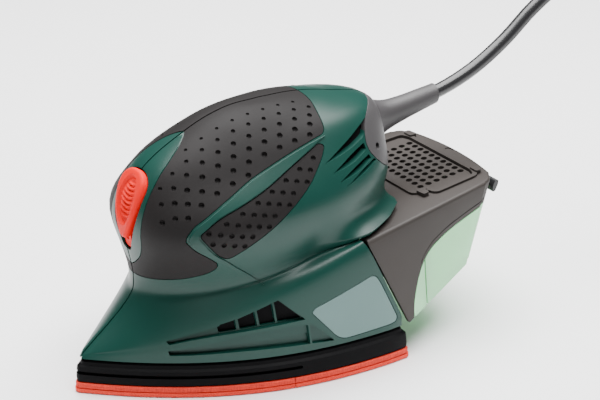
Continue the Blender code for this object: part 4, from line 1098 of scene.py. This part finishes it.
# ---- everything ----
def make_materials():
    """One node material for each slot of the record."""
    LOOKS.update({
        "green_plastic": grained("green_plastic", (0.0028, 0.031, 0.023), (0.0042, 0.040, 0.030), 0.36, 1400, 0.00004,
                                 0.35, Specular_IOR_Level=0.27),
        "soft_grip": grained("soft_grip", (0.0085, 0.0074, 0.0074), (0.0125, 0.0108, 0.0108), 0.6, 1100, 0.00007, 0.5,
                             Specular_IOR_Level=0.14),
        "red_plastic": grained("red_plastic", (0.70, 0.0035, 0.0025), (0.78, 0.006, 0.004), 0.5, 700, 0.00002, 0.2,
                               Specular_IOR_Level=0.08),
        "grey_rubber": grained("grey_rubber", (0.032, 0.030, 0.031), (0.042, 0.039, 0.041), 0.52, 900, 0.00005, 0.4),
        "dark_plastic": grained("dark_plastic", (0.010, 0.010, 0.011), (0.016, 0.016, 0.017), 0.45),
        "black_plastic": grained("black_plastic", (0.002, 0.002, 0.0024), (0.004, 0.004, 0.0045), 0.5,
                                 Specular_IOR_Level=0.05),
        "cover_plastic": grained("cover_plastic", (0.028, 0.0235, 0.021), (0.037, 0.031, 0.028), 0.5, 1000, 0.00005,
                                 0.4, Specular_IOR_Level=0.25),
        "clear_green": grained("clear_green", (0.42, 0.92, 0.49), (0.50, 0.96, 0.57), 0.16, 500, 0.00003, 0.2,
                               Transmission_Weight=0.45, IOR=1.49),
        "plate_grey": grained("plate_grey", (0.095, 0.165, 0.155), (0.125, 0.205, 0.195), 0.45, 1200, 0.00003, 0.3,
                               Specular_IOR_Level=0.25),
        "abrasive_red": gritty(),
        "hook_red": napped(),
        "steel": brushed("steel", (0.45, 0.45, 0.47), (0.66, 0.66, 0.68), 0.28),
        "copper": brushed("copper", (0.50, 0.20, 0.10), (0.80, 0.38, 0.22), 0.34, 1.0, (1, 1, 30)),
        "brass": brushed("brass", (0.62, 0.46, 0.20), (0.80, 0.62, 0.30), 0.3),
        "lamination": brushed("lamination", (0.14, 0.14, 0.15), (0.34, 0.34, 0.36), 0.45, 0.8, (1, 1, 40)),
        "carbon": grained("carbon", (0.015, 0.015, 0.016), (0.035, 0.035, 0.036), 0.6),
        "pale_plastic": grained("pale_plastic", (0.62, 0.60, 0.55), (0.70, 0.68, 0.63), 0.4),
        # the filter element is near black: painted shade that makes the grille's holes look dark
        "filter_paper": grained("filter_paper", (0.030, 0.029, 0.028), (0.045, 0.043, 0.042), 0.85, 2500, 0.00008,
                                0.7),
        "lead_black": grained("lead_black", (0.013, 0.013, 0.014), (0.019, 0.019, 0.020), 0.27, 500, 0.00003, 0.2),
    })


def gritty():
    """Abrasive grains in red resin, brighter where they stand out."""
    s = Shader("abrasive_red", 0.85)
    grit = s.noise(2600.0, 4.0, 0.75)
    s.colour(s.ramp(grit, ((0.32, (0.50, 0.016, 0.006)), (0.5, (0.78, 0.032, 0.012)), (0.68, (0.95, 0.060, 0.022)))))
    s.rough(s.spread(grit, 0.95, 0.6))
    s.bump(grit, 0.8, 0.00015)
    return s.mat


def napped():
    """Short fibres of the hook layer, running along the edge."""
    s = Shader("hook_red", 0.85)
    fibres = s.noise(1800.0, 3.0, 0.7, (1, 1, 0.25))
    s.colour(s.ramp(fibres, ((0.3, (0.50, 0.018, 0.008)), (0.7, (0.80, 0.038, 0.015)))))
    s.rough(s.spread(fibres, 0.95, 0.75))
    s.bump(fibres, 0.9, 0.0002)
    return s.mat


def carry_nodes():
    """Give each CAD node that stays in sight its slot's material."""
    slots = {entry["node"]: entry["material_slot"] for entry in frame["record"]["subparts"]}
    for name, node in frame["nodes"].items():
        painted(node, slots[name])


def main():
    make_camera()
    make_materials()
    carry_nodes()
    make_cord()
    make_shells()
    make_grips()
    make_shade_baffles()
    make_slider()
    make_foot()
    make_cover()
    make_grille()
    make_bin()
    make_latch()
    make_sleeve()
    make_studio()


main()
